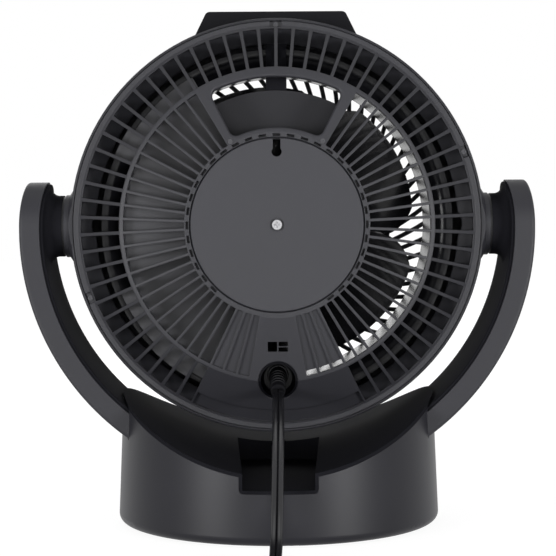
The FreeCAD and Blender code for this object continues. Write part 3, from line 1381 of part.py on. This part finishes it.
coil_low = TIE_THICK + SEAT_GAP + cord_radius
coil_start = V(COIL_START_X, COIL_MIDDLE_Y, coil_low)
coil_entry = coil_start - V(0, CORD_WIDTH, 0)
droop = math.radians(GLAND_DROOP)
gland_heading = V(0, math.cos(droop), -math.sin(droop))
gland_start = V(0, gland_face + GLAND_FLANGE_THICK / 3, TILT_HEIGHT + gland_z)
gland_tip = gland_start + gland_heading * GLAND_LENGTH
cord_points = [
    gland_tip,
    gland_tip + gland_heading * 22.5,
    V(0, 94, 84),
    V(0.2, 109, 72),
    V(0.5, 121, 57),
    V(0.9, 130.5, 40.5),
    V(1.3, 141, 25.5),
    V(1.7, 154, 13.8),
    V(2.2, 170, 6.6),
    V(3.2, 190, 4.4),
    V(0.55 * COIL_START_X, 218, 4.5),
    V(0.88 * COIL_START_X, 246, 4.85),
    coil_entry - V(0, 23.7, 0),
    coil_entry,
]
cord_edges, cord_radii = rounded_path(cord_points)
mains_cord = cord_tube(cord_edges)
cord_length = sum(e.Length for e in cord_edges)
print("cord length", round(cord_length, 1), "least bend", round(min(cord_radii), 1))
print("cord volume ratio", round(mains_cord.Volume / (cord_length * math.pi * cord_radius ** 2), 4))
save("mains_cord", mains_cord)

coil_centre = V(COIL_START_X - COIL_OUTER, COIL_MIDDLE_Y, coil_low)
coil_reverse = COIL_STEPS // 2


def coil_node(i):
    """A point of the coil and its heading: two layers, winding inwards and then outwards."""
    angle = math.radians(i * COIL_STEP_ANGLE)
    wound = min(i, COIL_STEPS - i) * COIL_STEP_ANGLE / 360
    radius = COIL_OUTER - COIL_PITCH * wound
    layer = 0.0 if i < coil_reverse else 1.0
    narrowing = -COIL_PITCH / (2 * math.pi) if i < coil_reverse else COIL_PITCH / (2 * math.pi)
    climb = 0.0
    if i == coil_reverse:
        layer = 0.5
        climb = COIL_PITCH / (2 * math.radians(COIL_STEP_ANGLE))
    if i in (0, coil_reverse, COIL_STEPS):
        narrowing = 0.0
    out = V(math.cos(angle), math.sin(angle), 0)
    side = V(-math.sin(angle), math.cos(angle), 0)
    heading = side * radius + out * narrowing + V(0, 0, climb)
    heading.normalize()
    return coil_centre + out * radius + V(0, 0, COIL_PITCH * layer), heading


def arc_through(start, corner, end):
    """The arc that leaves the start and reaches the end along the two sides of a corner."""
    spread = (end - start).Length / 2 / (corner - start).Length
    return Part.Arc(start, (start + corner * (2 * spread) + end) * (1 / (2 + 2 * spread)), end).toShape()


def two_arcs(start, heading, end, end_heading):
    """Two arcs that join smoothly, with a given heading at each end."""
    gap = end - start
    both = heading + end_heading
    a = 2 * (heading.dot(end_heading) - 1)
    b = -2 * gap.dot(both)
    c = gap.dot(gap)
    reach = (-b - math.sqrt(b * b - 4 * a * c)) / (2 * a)
    first = start + heading * reach
    second = end - end_heading * reach
    joint = (first + second) * 0.5
    return [arc_through(start, first, joint), arc_through(joint, second, end)]


coil_edges = [line(coil_entry, coil_start)]
for i in range(COIL_STEPS):
    here, heading = coil_node(i)
    there, next_heading = coil_node(i + 1)
    coil_edges += two_arcs(here, heading, there, next_heading)
coil_end, plug_heading = coil_node(COIL_STEPS)
plug_start = coil_end + plug_heading * COIL_LEAD_OUT
coil_edges.append(line(coil_end, plug_start))
coil = cord_tube(coil_edges)
coil_length = sum(e.Length for e in coil_edges)
coil_points = []
for edge in coil_edges:
    coil_points += edge.discretize(Distance=1.5)[:-1]
self_gap = min(
    (p - q).Length
    for i, p in enumerate(coil_points)
    for q in coil_points[i + 40:]
) - CORD_WIDTH
print("coil length", round(coil_length, 1), "least gap", round(self_gap, 2))
print("coil volume ratio", round(coil.Volume / (coil_length * math.pi * cord_radius ** 2), 4))
save("cord_coil", coil)

tie_points = [p for p in coil_points if abs(p.y - COIL_MIDDLE_Y) < TIE_WIDTH / 2 and p.x < coil_centre.x]
tie_from = min(p.x for p in tie_points) - cord_radius - TIE_ROOM
tie_to = max(p.x for p in tie_points) + cord_radius + TIE_ROOM
tie_top = coil_low + COIL_PITCH + cord_radius + SLIDING_GAP
tie_y0 = COIL_MIDDLE_Y - TIE_WIDTH / 2
tie_y1 = COIL_MIDDLE_Y + TIE_WIDTH / 2
tie = block(tie_from - TIE_THICK, tie_to + TIE_THICK, tie_y0, tie_y1, 0, tie_top + TIE_THICK)
tie = tie.makeFillet(TIE_THICK, [e for e in tie.Edges if e.BoundBox.YLength > 1])
save("cord_tie", tie.cut(block(tie_from, tie_to, tie_y0, tie_y1, TIE_THICK, tie_top)))


def by_plug(shape):
    """Turns a shape made along +X from the origin into the plug's place."""
    shape.rotate(V(0, 0, 0), V(0, 0, 1), math.degrees(math.atan2(plug_heading.y, plug_heading.x)))
    shape.translate(plug_start)
    return shape


plug_half_height = plug_start.z
plug = prism(
    [
        V(0, -PLUG_NECK, -plug_half_height),
        V(PLUG_LENGTH / 3, -PLUG_HALF_WIDTH, -plug_half_height),
        V(PLUG_LENGTH, -PLUG_HALF_WIDTH, -plug_half_height),
        V(PLUG_LENGTH, PLUG_HALF_WIDTH, -plug_half_height),
        V(PLUG_LENGTH / 3, PLUG_HALF_WIDTH, -plug_half_height),
        V(0, PLUG_NECK, -plug_half_height),
    ],
    V(0, 0, 2 * plug_half_height),
)
plug = plug.makeFillet(PLUG_EDGE, [e for e in plug.Edges if e.BoundBox.XMin > 1 or e.BoundBox.XLength > 1])
save("mains_plug", by_plug(plug))

pins = []
for y in (-PIN_SPACING / 2, PIN_SPACING / 2):
    pin = along_x(PIN_RADIUS, PLUG_LENGTH, PLUG_LENGTH + PIN_LENGTH, y)
    pin = pin.makeFillet(PIN_RADIUS * 0.6, [e for e in pin.Edges if e.BoundBox.XMin > PLUG_LENGTH + 1])
    pins.append(by_plug(pin))
save("plug_pins", Part.makeCompound(pins))
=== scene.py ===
import bpy
import bmesh
import math
from mathutils import Matrix, Vector


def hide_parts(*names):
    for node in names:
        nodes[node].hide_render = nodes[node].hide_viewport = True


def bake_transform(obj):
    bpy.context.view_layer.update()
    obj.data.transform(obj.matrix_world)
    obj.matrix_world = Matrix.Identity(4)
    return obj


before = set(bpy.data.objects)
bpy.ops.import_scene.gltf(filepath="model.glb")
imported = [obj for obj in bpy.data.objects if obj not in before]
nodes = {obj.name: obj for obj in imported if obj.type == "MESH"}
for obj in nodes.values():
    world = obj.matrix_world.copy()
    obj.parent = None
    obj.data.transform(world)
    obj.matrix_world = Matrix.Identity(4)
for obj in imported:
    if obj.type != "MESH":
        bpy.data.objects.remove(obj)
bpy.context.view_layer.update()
scene = bpy.context.scene
scene.view_settings.view_transform = "Standard"

# Camera: behind the object, about level with the head's axis, a long lens

CAMERA_PLACE = Vector((0, 1.206, 0.217))
CAMERA_ROLL = math.radians(-0.37)

camera_data = bpy.data.cameras.new("camera")
camera = bpy.data.objects.new("camera", camera_data)
scene.collection.objects.link(camera)
camera_data.sensor_width = 36.0
camera_data.lens = 105.5
camera_data.shift_x = 0.0017
camera_data.shift_y = -0.0957
camera_data.clip_start = 0.05
camera_data.clip_end = 50.0
facing_front = Matrix.Rotation(math.pi, 4, "Z") @ Matrix.Rotation(math.pi / 2, 4, "X")
roll = Matrix.Rotation(CAMERA_ROLL, 4, "Z")
camera.matrix_world = Matrix.Translation(CAMERA_PLACE) @ facing_front @ roll
scene.camera = camera

# Materials

NOISE_DETAIL = 3.0
FLOW_SCALE = 14.0
FLOW_SHARE = 0.55
GRAIN_SHARE = 0.45
DRAWN_SCALE = 900.0
EDGE_SAMPLES = 4


def start_material(name):
    mat = bpy.data.materials.new(name)
    mat.use_nodes = True
    tree = mat.node_tree
    return mat, tree, tree.nodes["Principled BSDF"]


def calculate(tree, operation, *values):
    """A math node: numbers are set on its sockets, and other nodes' outputs are linked to them."""
    node = tree.nodes.new("ShaderNodeMath")
    node.operation = operation
    for socket, value in zip(node.inputs, values):
        if isinstance(value, float):
            socket.default_value = value
        else:
            tree.links.new(value, socket)
    return node.outputs[0]


def noise(tree, coords, scale, roughness=0.6):
    node = tree.nodes.new("ShaderNodeTexNoise")
    node.inputs["Scale"].default_value = scale
    node.inputs["Detail"].default_value = NOISE_DETAIL
    node.inputs["Roughness"].default_value = roughness
    tree.links.new(coords, node.inputs["Vector"])
    return node.outputs["Fac"]


def between(tree, value, low, high, start=0.3, end=0.7):
    """Maps a value from start..end to low..high."""
    node = tree.nodes.new("ShaderNodeMapRange")
    node.inputs["From Min"].default_value = start
    node.inputs["From Max"].default_value = end
    node.inputs["To Min"].default_value = low
    node.inputs["To Max"].default_value = high
    tree.links.new(value, node.inputs["Value"])
    return node.outputs["Result"]


def two_tone(tree, value, dark, light):
    node = tree.nodes.new("ShaderNodeMix")
    node.data_type = "RGBA"
    node.inputs["A"].default_value = (*dark, 1)
    node.inputs["B"].default_value = (*light, 1)
    tree.links.new(value, node.inputs["Factor"])
    return node.outputs["Result"]


def bump(tree, value, shader, strength, depth, edge):
    """Fine relief, over edges that look rounded to the radius edge where that is above 0."""
    node = tree.nodes.new("ShaderNodeBump")
    node.inputs["Strength"].default_value = strength
    node.inputs["Distance"].default_value = depth
    tree.links.new(value, node.inputs["Height"])
    if edge > 0:
        soft_edge = tree.nodes.new("ShaderNodeBevel")
        soft_edge.samples = EDGE_SAMPLES
        soft_edge.inputs["Radius"].default_value = edge
        tree.links.new(soft_edge.outputs["Normal"], node.inputs["Normal"])
    tree.links.new(node.outputs["Normal"], shader.inputs["Normal"])


def object_coords(tree, stretch=None):
    coords = tree.nodes.new("ShaderNodeTexCoord").outputs["Object"]
    if stretch is None:
        return coords
    mapping = tree.nodes.new("ShaderNodeMapping")
    mapping.inputs["Scale"].default_value = stretch
    tree.links.new(coords, mapping.inputs["Vector"])
    return mapping.outputs["Vector"]


def moulded(
    name, dark, light, rough, grain=1600.0, depth=0.00004, strength=0.35, specular=0.22, edge=0.0
):
    """Injection-moulded plastic: a fine eroded grain, faint flow marks and an uneven sheen."""
    mat, tree, shader = start_material(name)
    coords = object_coords(tree)
    fine = noise(tree, coords, grain)
    broad = noise(tree, coords, FLOW_SCALE, roughness=0.5)
    flow = between(tree, broad, 0.0, FLOW_SHARE)
    shade = calculate(tree, "MULTIPLY_ADD", fine, GRAIN_SHARE, flow)
    tree.links.new(two_tone(tree, shade, dark, light), shader.inputs["Base Color"])
    tree.links.new(between(tree, broad, *rough), shader.inputs["Roughness"])
    shader.inputs["Specular IOR Level"].default_value = specular
    bump(tree, fine, shader, strength, depth, edge)
    return mat


def metal(name, dark, light, rough, stretch, edge=0.0):
    """Plated or bare metal with drawn marks along one direction."""
    mat, tree, shader = start_material(name)
    lines = noise(tree, object_coords(tree, stretch), DRAWN_SCALE)
    tree.links.new(two_tone(tree, lines, dark, light), shader.inputs["Base Color"])
    tree.links.new(between(tree, lines, *rough), shader.inputs["Roughness"])
    shader.inputs["Metallic"].default_value = 1.0
    bump(tree, lines, shader, strength=0.15, depth=0.00002, edge=edge)
    return mat


charcoal = moulded(
    "charcoal_plastic", (0.012, 0.012, 0.0147), (0.017, 0.017, 0.0208), (0.52, 0.60), edge=0.0007
)
base_plastic = moulded(
    "base_plastic", (0.007, 0.007, 0.0093), (0.0098, 0.0098, 0.013), (0.38, 0.43),
    specular=0.19, edge=0.0007,
)
guard_plastic = moulded(
    "guard_plastic", (0.016, 0.016, 0.019), (0.022, 0.022, 0.026), (0.44, 0.52), edge=0.0011
)
charcoal_smooth = moulded(
    "charcoal_smooth", (0.019, 0.019, 0.0225), (0.025, 0.025, 0.0295), (0.42, 0.50),
    grain=2200.0, depth=0.00002, strength=0.2,
)
black_gloss = moulded(
    "black_gloss", (0.005, 0.005, 0.006), (0.009, 0.009, 0.010), (0.14, 0.22),
    grain=700.0, depth=0.00001, strength=0.08, specular=0.4,
)
duct_black = moulded(
    "duct_black", (0.003, 0.003, 0.004), (0.005, 0.005, 0.006), (0.16, 0.22),
    grain=700.0, depth=0.00001, strength=0.08, specular=0.06,
)
soft_black = moulded(
    "soft_black", (0.009, 0.009, 0.011), (0.013, 0.013, 0.0155), (0.48, 0.56), specular=0.14
)
# Dull black for the control pod: its low sheen is the surface's own, its darkened colour is painted
# shade on the pod's rear face
dull_black_painted_shade = moulded(
    "dull_black_painted_shade", (0.004, 0.004, 0.005), (0.006, 0.006, 0.0075), (0.52, 0.60), specular=0.06
)
# Matt black for the bowl, the wire channel and the arm liners: the matte finish is the surface's
# own, the darkened colour is painted shade for parts under or inside the head and faces turned
# inwards
matt_black_painted_shade = moulded(
    "matt_black_painted_shade", (0.006, 0.006, 0.0075), (0.009, 0.009, 0.011), (0.74, 0.82), specular=0.012
)
grey = moulded("grey_plastic", (0.024, 0.024, 0.027), (0.034, 0.034, 0.038), (0.42, 0.52))
button_grey = moulded("button_grey", (0.16, 0.16, 0.165), (0.19, 0.19, 0.195), (0.38, 0.48))
rubber = moulded(
    "rubber", (0.008, 0.008, 0.009), (0.015, 0.015, 0.016), (0.5, 0.66),
    grain=1200.0, depth=0.00005, strength=0.4,
)
gland_rubber = moulded(
    "gland_rubber", (0.004, 0.004, 0.005), (0.006, 0.006, 0.007), (0.34, 0.44),
    grain=1200.0, depth=0.00002, strength=0.2, specular=0.1,
)
sheath = moulded(
    "cord_sheath", (0.005, 0.005, 0.006), (0.008, 0.008, 0.0095), (0.22, 0.28),
    grain=900.0, depth=0.00001, strength=0.2, specular=0.4,
)
heat_plastic = moulded(
    "heat_plastic", (0.22, 0.18, 0.13), (0.30, 0.25, 0.19), (0.5, 0.65), grain=800.0
)
acetal = moulded("acetal", (0.68, 0.68, 0.64), (0.78, 0.78, 0.75), (0.3, 0.42), grain=700.0)
board_green = moulded("board", (0.015, 0.10, 0.04), (0.03, 0.16, 0.07), (0.3, 0.45), grain=500.0)
display_glass = moulded(
    "display_glass", (0.004, 0.004, 0.005), (0.007, 0.007, 0.008), (0.05, 0.09),
    grain=300.0, depth=0.000005, strength=0.05, specular=0.6,
)
steel = metal("steel", (0.52, 0.52, 0.53), (0.74, 0.74, 0.75), (0.2, 0.36), (1, 6, 1))
# A darker steel for the hub screw
darker_steel = metal(
    "darker_steel", (0.16, 0.16, 0.165), (0.24, 0.24, 0.245), (0.34, 0.46), (1, 4, 1), edge=0.0004
)
dark_zinc = metal("dark_zinc", (0.02, 0.02, 0.022), (0.06, 0.06, 0.064), (0.3, 0.45), (1, 4, 1))
laminated = metal(
    "laminated_steel", (0.16, 0.16, 0.17), (0.30, 0.30, 0.31), (0.35, 0.5), (1, 12, 1)
)
aluminium = metal("aluminium", (0.6, 0.6, 0.61), (0.78, 0.78, 0.79), (0.25, 0.42), (1, 1, 8))

finishes = {
    charcoal: [
        "base_floor", "right_arm_shell", "left_arm_shell",
        "drum_shell", "front_bezel", "front_grille",
    ],
    base_plastic: ["base_shell"],
    guard_plastic: ["rear_grille"],
    charcoal_smooth: ["hub_cover", "front_hub_cap"],
    soft_black: ["handle_pocket"],
    # painted shade: the control pod's colour is darkened
    dull_black_painted_shade: ["control_pod"],
    # painted shade: the bowl, wire channel and arm liners are darkened for the shade they sit in
    matt_black_painted_shade: ["base_top", "wire_channel", "right_arm_liner", "left_arm_liner"],
    black_gloss: ["fan_impeller", "pod_panel", "fan_nut"],
    duct_black: ["fan_duct", "cord_cup"],
    grey: ["electronics_cover", "electronics_tray"],
    button_grey: ["button_power", "button_heat", "button_speed", "button_timer"],
    rubber: ["base_feet", "pivot_washers"],
    gland_rubber: ["cord_gland"],
    sheath: ["mains_cord", "cord_coil", "mains_plug", "cord_tie"],
    steel: [
        "base_floor_screws", "right_trunnion", "left_trunnion", "trunnion_screws", "pivot_screws",
        "motor_screws", "motor_bearings", "motor_shaft", "plug_pins",
    ],
    darker_steel: ["hub_screw"],
    dark_zinc: ["arm_screws", "rim_screws", "pocket_screws"],
    laminated: ["motor_stator", "motor_rotor"],
    aluminium: ["motor_housing", "heater_fins"],
    heat_plastic: ["heater_frame", "thermal_cutout"],
    acetal: ["right_pivot_bush", "left_pivot_bush"],
    board_green: ["power_board", "control_board"],
    display_glass: ["display_window"],
}
for finish, names in finishes.items():
    for name in names:
        nodes[name].data.materials.clear()
        nodes[name].data.materials.append(finish)

# Mains cord: a flat twin cord from the gland to the floor, wound into a tied coil behind the base

CORD_WIDTH = 0.0083
LOBE = 0.00245
LOBE_AWAY = CORD_WIDTH / 2 - LOBE
LOBE_POINTS = 9
GROOVE_SHARE = 0.92
GLAND_ROOT = Vector((0, 0.029, 0.1085))
GLAND_LENGTH = 0.029
GLAND_DROP = math.radians(18)
GLAND_LEAD = 0.0225
COIL_OUTER = 0.060
COIL_PITCH = 0.0088
COIL_CENTRE = Vector((0.010 - COIL_OUTER, 0.304, 0.00505))
COIL_TURN = 1760.0
COIL_STEP = 22.0
CLIMB_TURN = 176.0
PLUG_LEAD = 0.050
TWIST_START = 0.150
TWIST_LENGTH = 0.100

gland_heading = Vector((0, math.cos(GLAND_DROP), -math.sin(GLAND_DROP)))
gland_tip = GLAND_ROOT + gland_heading * GLAND_LENGTH
route = [
    gland_tip,
    gland_tip + gland_heading * GLAND_LEAD,
    Vector((0, 0.094, 0.084)),
    Vector((0.0002, 0.109, 0.072)),
    Vector((0.0005, 0.121, 0.057)),
    Vector((0.0009, 0.1305, 0.0405)),
    Vector((0.0013, 0.141, 0.0255)),
    Vector((0.0017, 0.154, 0.0138)),
    Vector((0.0022, 0.170, 0.0060)),
    Vector((0.0032, 0.190, 0.0032)),
    Vector((0.0055, 0.218, 0.0036)),
    Vector((0.0088, 0.246, 0.00455)),
    Vector((0.010, 0.272, 0.00505)),
    Vector((0.010, 0.2957, 0.00505)),
]


def eased(value):
    """Runs smoothly from 0 to 1 while the value does, and stays there beyond."""
    t = min(max(value, 0), 1)
    return t * t * (3 - 2 * t)


def coil_point(angle):
    """A control point of the coil, which winds inwards, climbs one layer and winds outwards."""
    wound = min(angle, COIL_TURN - angle) / 360
    radius = (COIL_OUTER - COIL_PITCH * wound) / math.cos(math.radians(COIL_STEP / 2))
    rise = COIL_PITCH * eased((angle - COIL_TURN / 2) / CLIMB_TURN + 0.5)
    a = math.radians(angle)
    return COIL_CENTRE + Vector((radius * math.cos(a), radius * math.sin(a), rise))


coil_steps = int(COIL_TURN / COIL_STEP)
coil = [coil_point((i + 0.5) * COIL_STEP) for i in range(coil_steps)]
end_angle = math.radians(COIL_TURN)
end_away = Vector((math.cos(end_angle), math.sin(end_angle), 0))
coil_end = COIL_CENTRE + end_away * COIL_OUTER + Vector((0, 0, COIL_PITCH))
plug_heading = Vector((-math.sin(end_angle), math.cos(end_angle), 0))
tangent = COIL_OUTER * math.tan(math.radians(COIL_STEP / 2))
cord_controls = [
    *route,
    *coil,
    coil_end + plug_heading * tangent,
    coil_end + plug_heading * PLUG_LEAD,
]


def spline_points(controls):
    """Points along a smooth spline with these control points."""
    data = bpy.data.curves.new("route", "CURVE")
    data.dimensions = "3D"
    data.resolution_u = 6
    spline = data.splines.new("NURBS")
    spline.points.add(len(controls) - 1)
    for point, place in zip(spline.points, controls):
        point.co = (*place, 1)
    spline.order_u = 3
    spline.use_endpoint_u = True
    holder = bpy.data.objects.new("route", data)
    scene.collection.objects.link(holder)
    bpy.context.view_layer.update()
    depsgraph = bpy.context.evaluated_depsgraph_get()
    line = bpy.data.meshes.new_from_object(holder.evaluated_get(depsgraph))
    points = [v.co.copy() for v in line.vertices]
    bpy.data.objects.remove(holder)
    bpy.data.curves.remove(data)
    bpy.data.meshes.remove(line)
    return points


def twin_outline():
    """Cross-section of a flat twin cord: two round cores that meet in a groove on each side."""
    meet = math.acos(LOBE_AWAY / LOBE)
    half_turn = math.pi - meet * GROOVE_SHARE
    outline = []
    for side in (1, -1):
        for i in range(LOBE_POINTS):
            a = (i / (LOBE_POINTS - 1) * 2 - 1) * half_turn
            outline.append((side * (LOBE_AWAY + LOBE * math.cos(a)), side * LOBE * math.sin(a)))
    return outline


def sweep(name, points, outline, twist):
    """A tube with this outline along points; twist gives the outline's turn at a place along it."""
    mesh = bmesh.new()
    side = Vector((1, 0, 0))
    travelled = 0.0
    rings = []
    for i, place in enumerate(points):
        before = points[max(i - 1, 0)]
        after = points[min(i + 1, len(points) - 1)]
        heading = (after - before).normalized()
        side = (side - heading * side.dot(heading)).normalized()
        travelled += (place - before).length
        spin = Matrix.Rotation(twist(travelled), 3, heading)
        wide = spin @ side
        thick = heading.cross(wide)
        rings.append([mesh.verts.new(place + wide * u + thick * v) for u, v in outline])
    for ring, following in zip(rings, rings[1:]):
        for i in range(len(outline)):
            j = (i + 1) % len(outline)
            mesh.faces.new((ring[i], ring[j], following[j], following[i]))
    mesh.faces.new(rings[0][::-1])
    mesh.faces.new(rings[-1])
    bmesh.ops.recalc_face_normals(mesh, faces=mesh.faces)
    data = bpy.data.meshes.new(name)
    mesh.to_mesh(data)
    mesh.free()
    for polygon in data.polygons:
        polygon.use_smooth = True
    piece = bpy.data.objects.new(name, data)
    scene.collection.objects.link(piece)
    return piece


def cord_twist(travelled):
    """The cord lies flat as it comes down and stands on edge in the coil."""
    return math.pi / 2 * eased((travelled - TWIST_START) / TWIST_LENGTH)


cord_points = spline_points(cord_controls)
cord = sweep("twin_cord", cord_points, twin_outline(), cord_twist)
cord.data.materials.append(sheath)
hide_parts("mains_cord", "cord_coil")
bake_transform(cord)

# Stage: a pale floor that keeps a soft shadow, a white surround and soft lamps around the object

FLOOR_RADIUS = 9.0
FLOOR_DROP = 0.0002
FLOOR_GLOW = 1.15
GLOW_SHARE_NEAR = 0.8
GLOW_SHARE_FAR = 0.87
NEAR = 0.35
FAR = 1.0
SURROUND_LIGHT = 0.12
SURROUND_SEEN = 1.0
LAMP_TARGET = Vector((0, 0, 0.2))


def seen_rays(tree):
    """1 for rays that show the surround: seen directly, mirrored or through glass."""
    path = tree.nodes.new("ShaderNodeLightPath").outputs
    direct_or_mirrored = calculate(tree, "MAXIMUM", path["Is Camera Ray"], path["Is Glossy Ray"])
    return calculate(tree, "MAXIMUM", direct_or_mirrored, path["Is Transmission Ray"])


floor_data = bpy.data.meshes.new("floor")
floor_mesh = bmesh.new()
bmesh.ops.create_circle(floor_mesh, cap_ends=True, segments=96, radius=FLOOR_RADIUS)
floor_mesh.to_mesh(floor_data)
floor_mesh.free()
floor = bpy.data.objects.new("floor", floor_data)
scene.collection.objects.link(floor)
floor.location.z = -FLOOR_DROP

floor_mat, tree, plain = start_material("pale_floor")
plain.inputs["Base Color"].default_value = (0.9, 0.9, 0.9, 1)
plain.inputs["Roughness"].default_value = 0.8
plain.inputs["Specular IOR Level"].default_value = 0.1
glow = tree.nodes.new("ShaderNodeEmission")
glow.inputs["Color"].default_value = (1, 1, 1, 1)
glow.inputs["Strength"].default_value = FLOOR_GLOW
away = tree.nodes.new("ShaderNodeVectorMath")
away.operation = "LENGTH"
tree.links.new(object_coords(tree), away.inputs[0])
glow_share = between(tree, away.outputs["Value"], GLOW_SHARE_NEAR, GLOW_SHARE_FAR, NEAR, FAR)
mixer = tree.nodes.new("ShaderNodeMixShader")
tree.links.new(calculate(tree, "MULTIPLY", seen_rays(tree), glow_share), mixer.inputs["Fac"])
tree.links.new(plain.outputs[0], mixer.inputs[1])
tree.links.new(glow.outputs[0], mixer.inputs[2])
tree.links.new(mixer.outputs[0], tree.nodes["Material Output"].inputs["Surface"])
floor_data.materials.append(floor_mat)

world = bpy.data.worlds.new("surround")
scene.world = world
world.use_nodes = True
tree = world.node_tree
sky = tree.nodes["Background"]
sky.inputs["Color"].default_value = (1, 1, 1, 1)
surround_level = between(tree, seen_rays(tree), SURROUND_LIGHT, SURROUND_SEEN, 0.0, 1.0)
tree.links.new(surround_level, sky.inputs["Strength"])


def lamp(name, place, size, power):
    data = bpy.data.lights.new(name, "AREA")
    data.shape = "RECTANGLE"
    data.size = size[0]
    data.size_y = size[1]
    data.energy = power
    piece = bpy.data.objects.new(name, data)
    piece.location = place
    piece.rotation_euler = (LAMP_TARGET - Vector(place)).to_track_quat("-Z", "Y").to_euler()
    scene.collection.objects.link(piece)


lamp("lamp_left", place=(1.1, 1.1, 0.2), size=(0.5, 0.3), power=19)
lamp("lamp_right", place=(-1.1, 1.1, 0.2), size=(0.5, 0.3), power=19)
lamp("lamp_middle", place=(0, 2.2, 0.5), size=(1.6, 0.9), power=11)
lamp("lamp_top", place=(0, 0.2, 1.7), size=(1.4, 1.0), power=4)
lamp("lamp_low", place=(0, 1.7, 0.08), size=(1.2, 0.12), power=4)
lamp("lamp_front", place=(0.3, -1.6, 0.9), size=(1.2, 1.2), power=12)
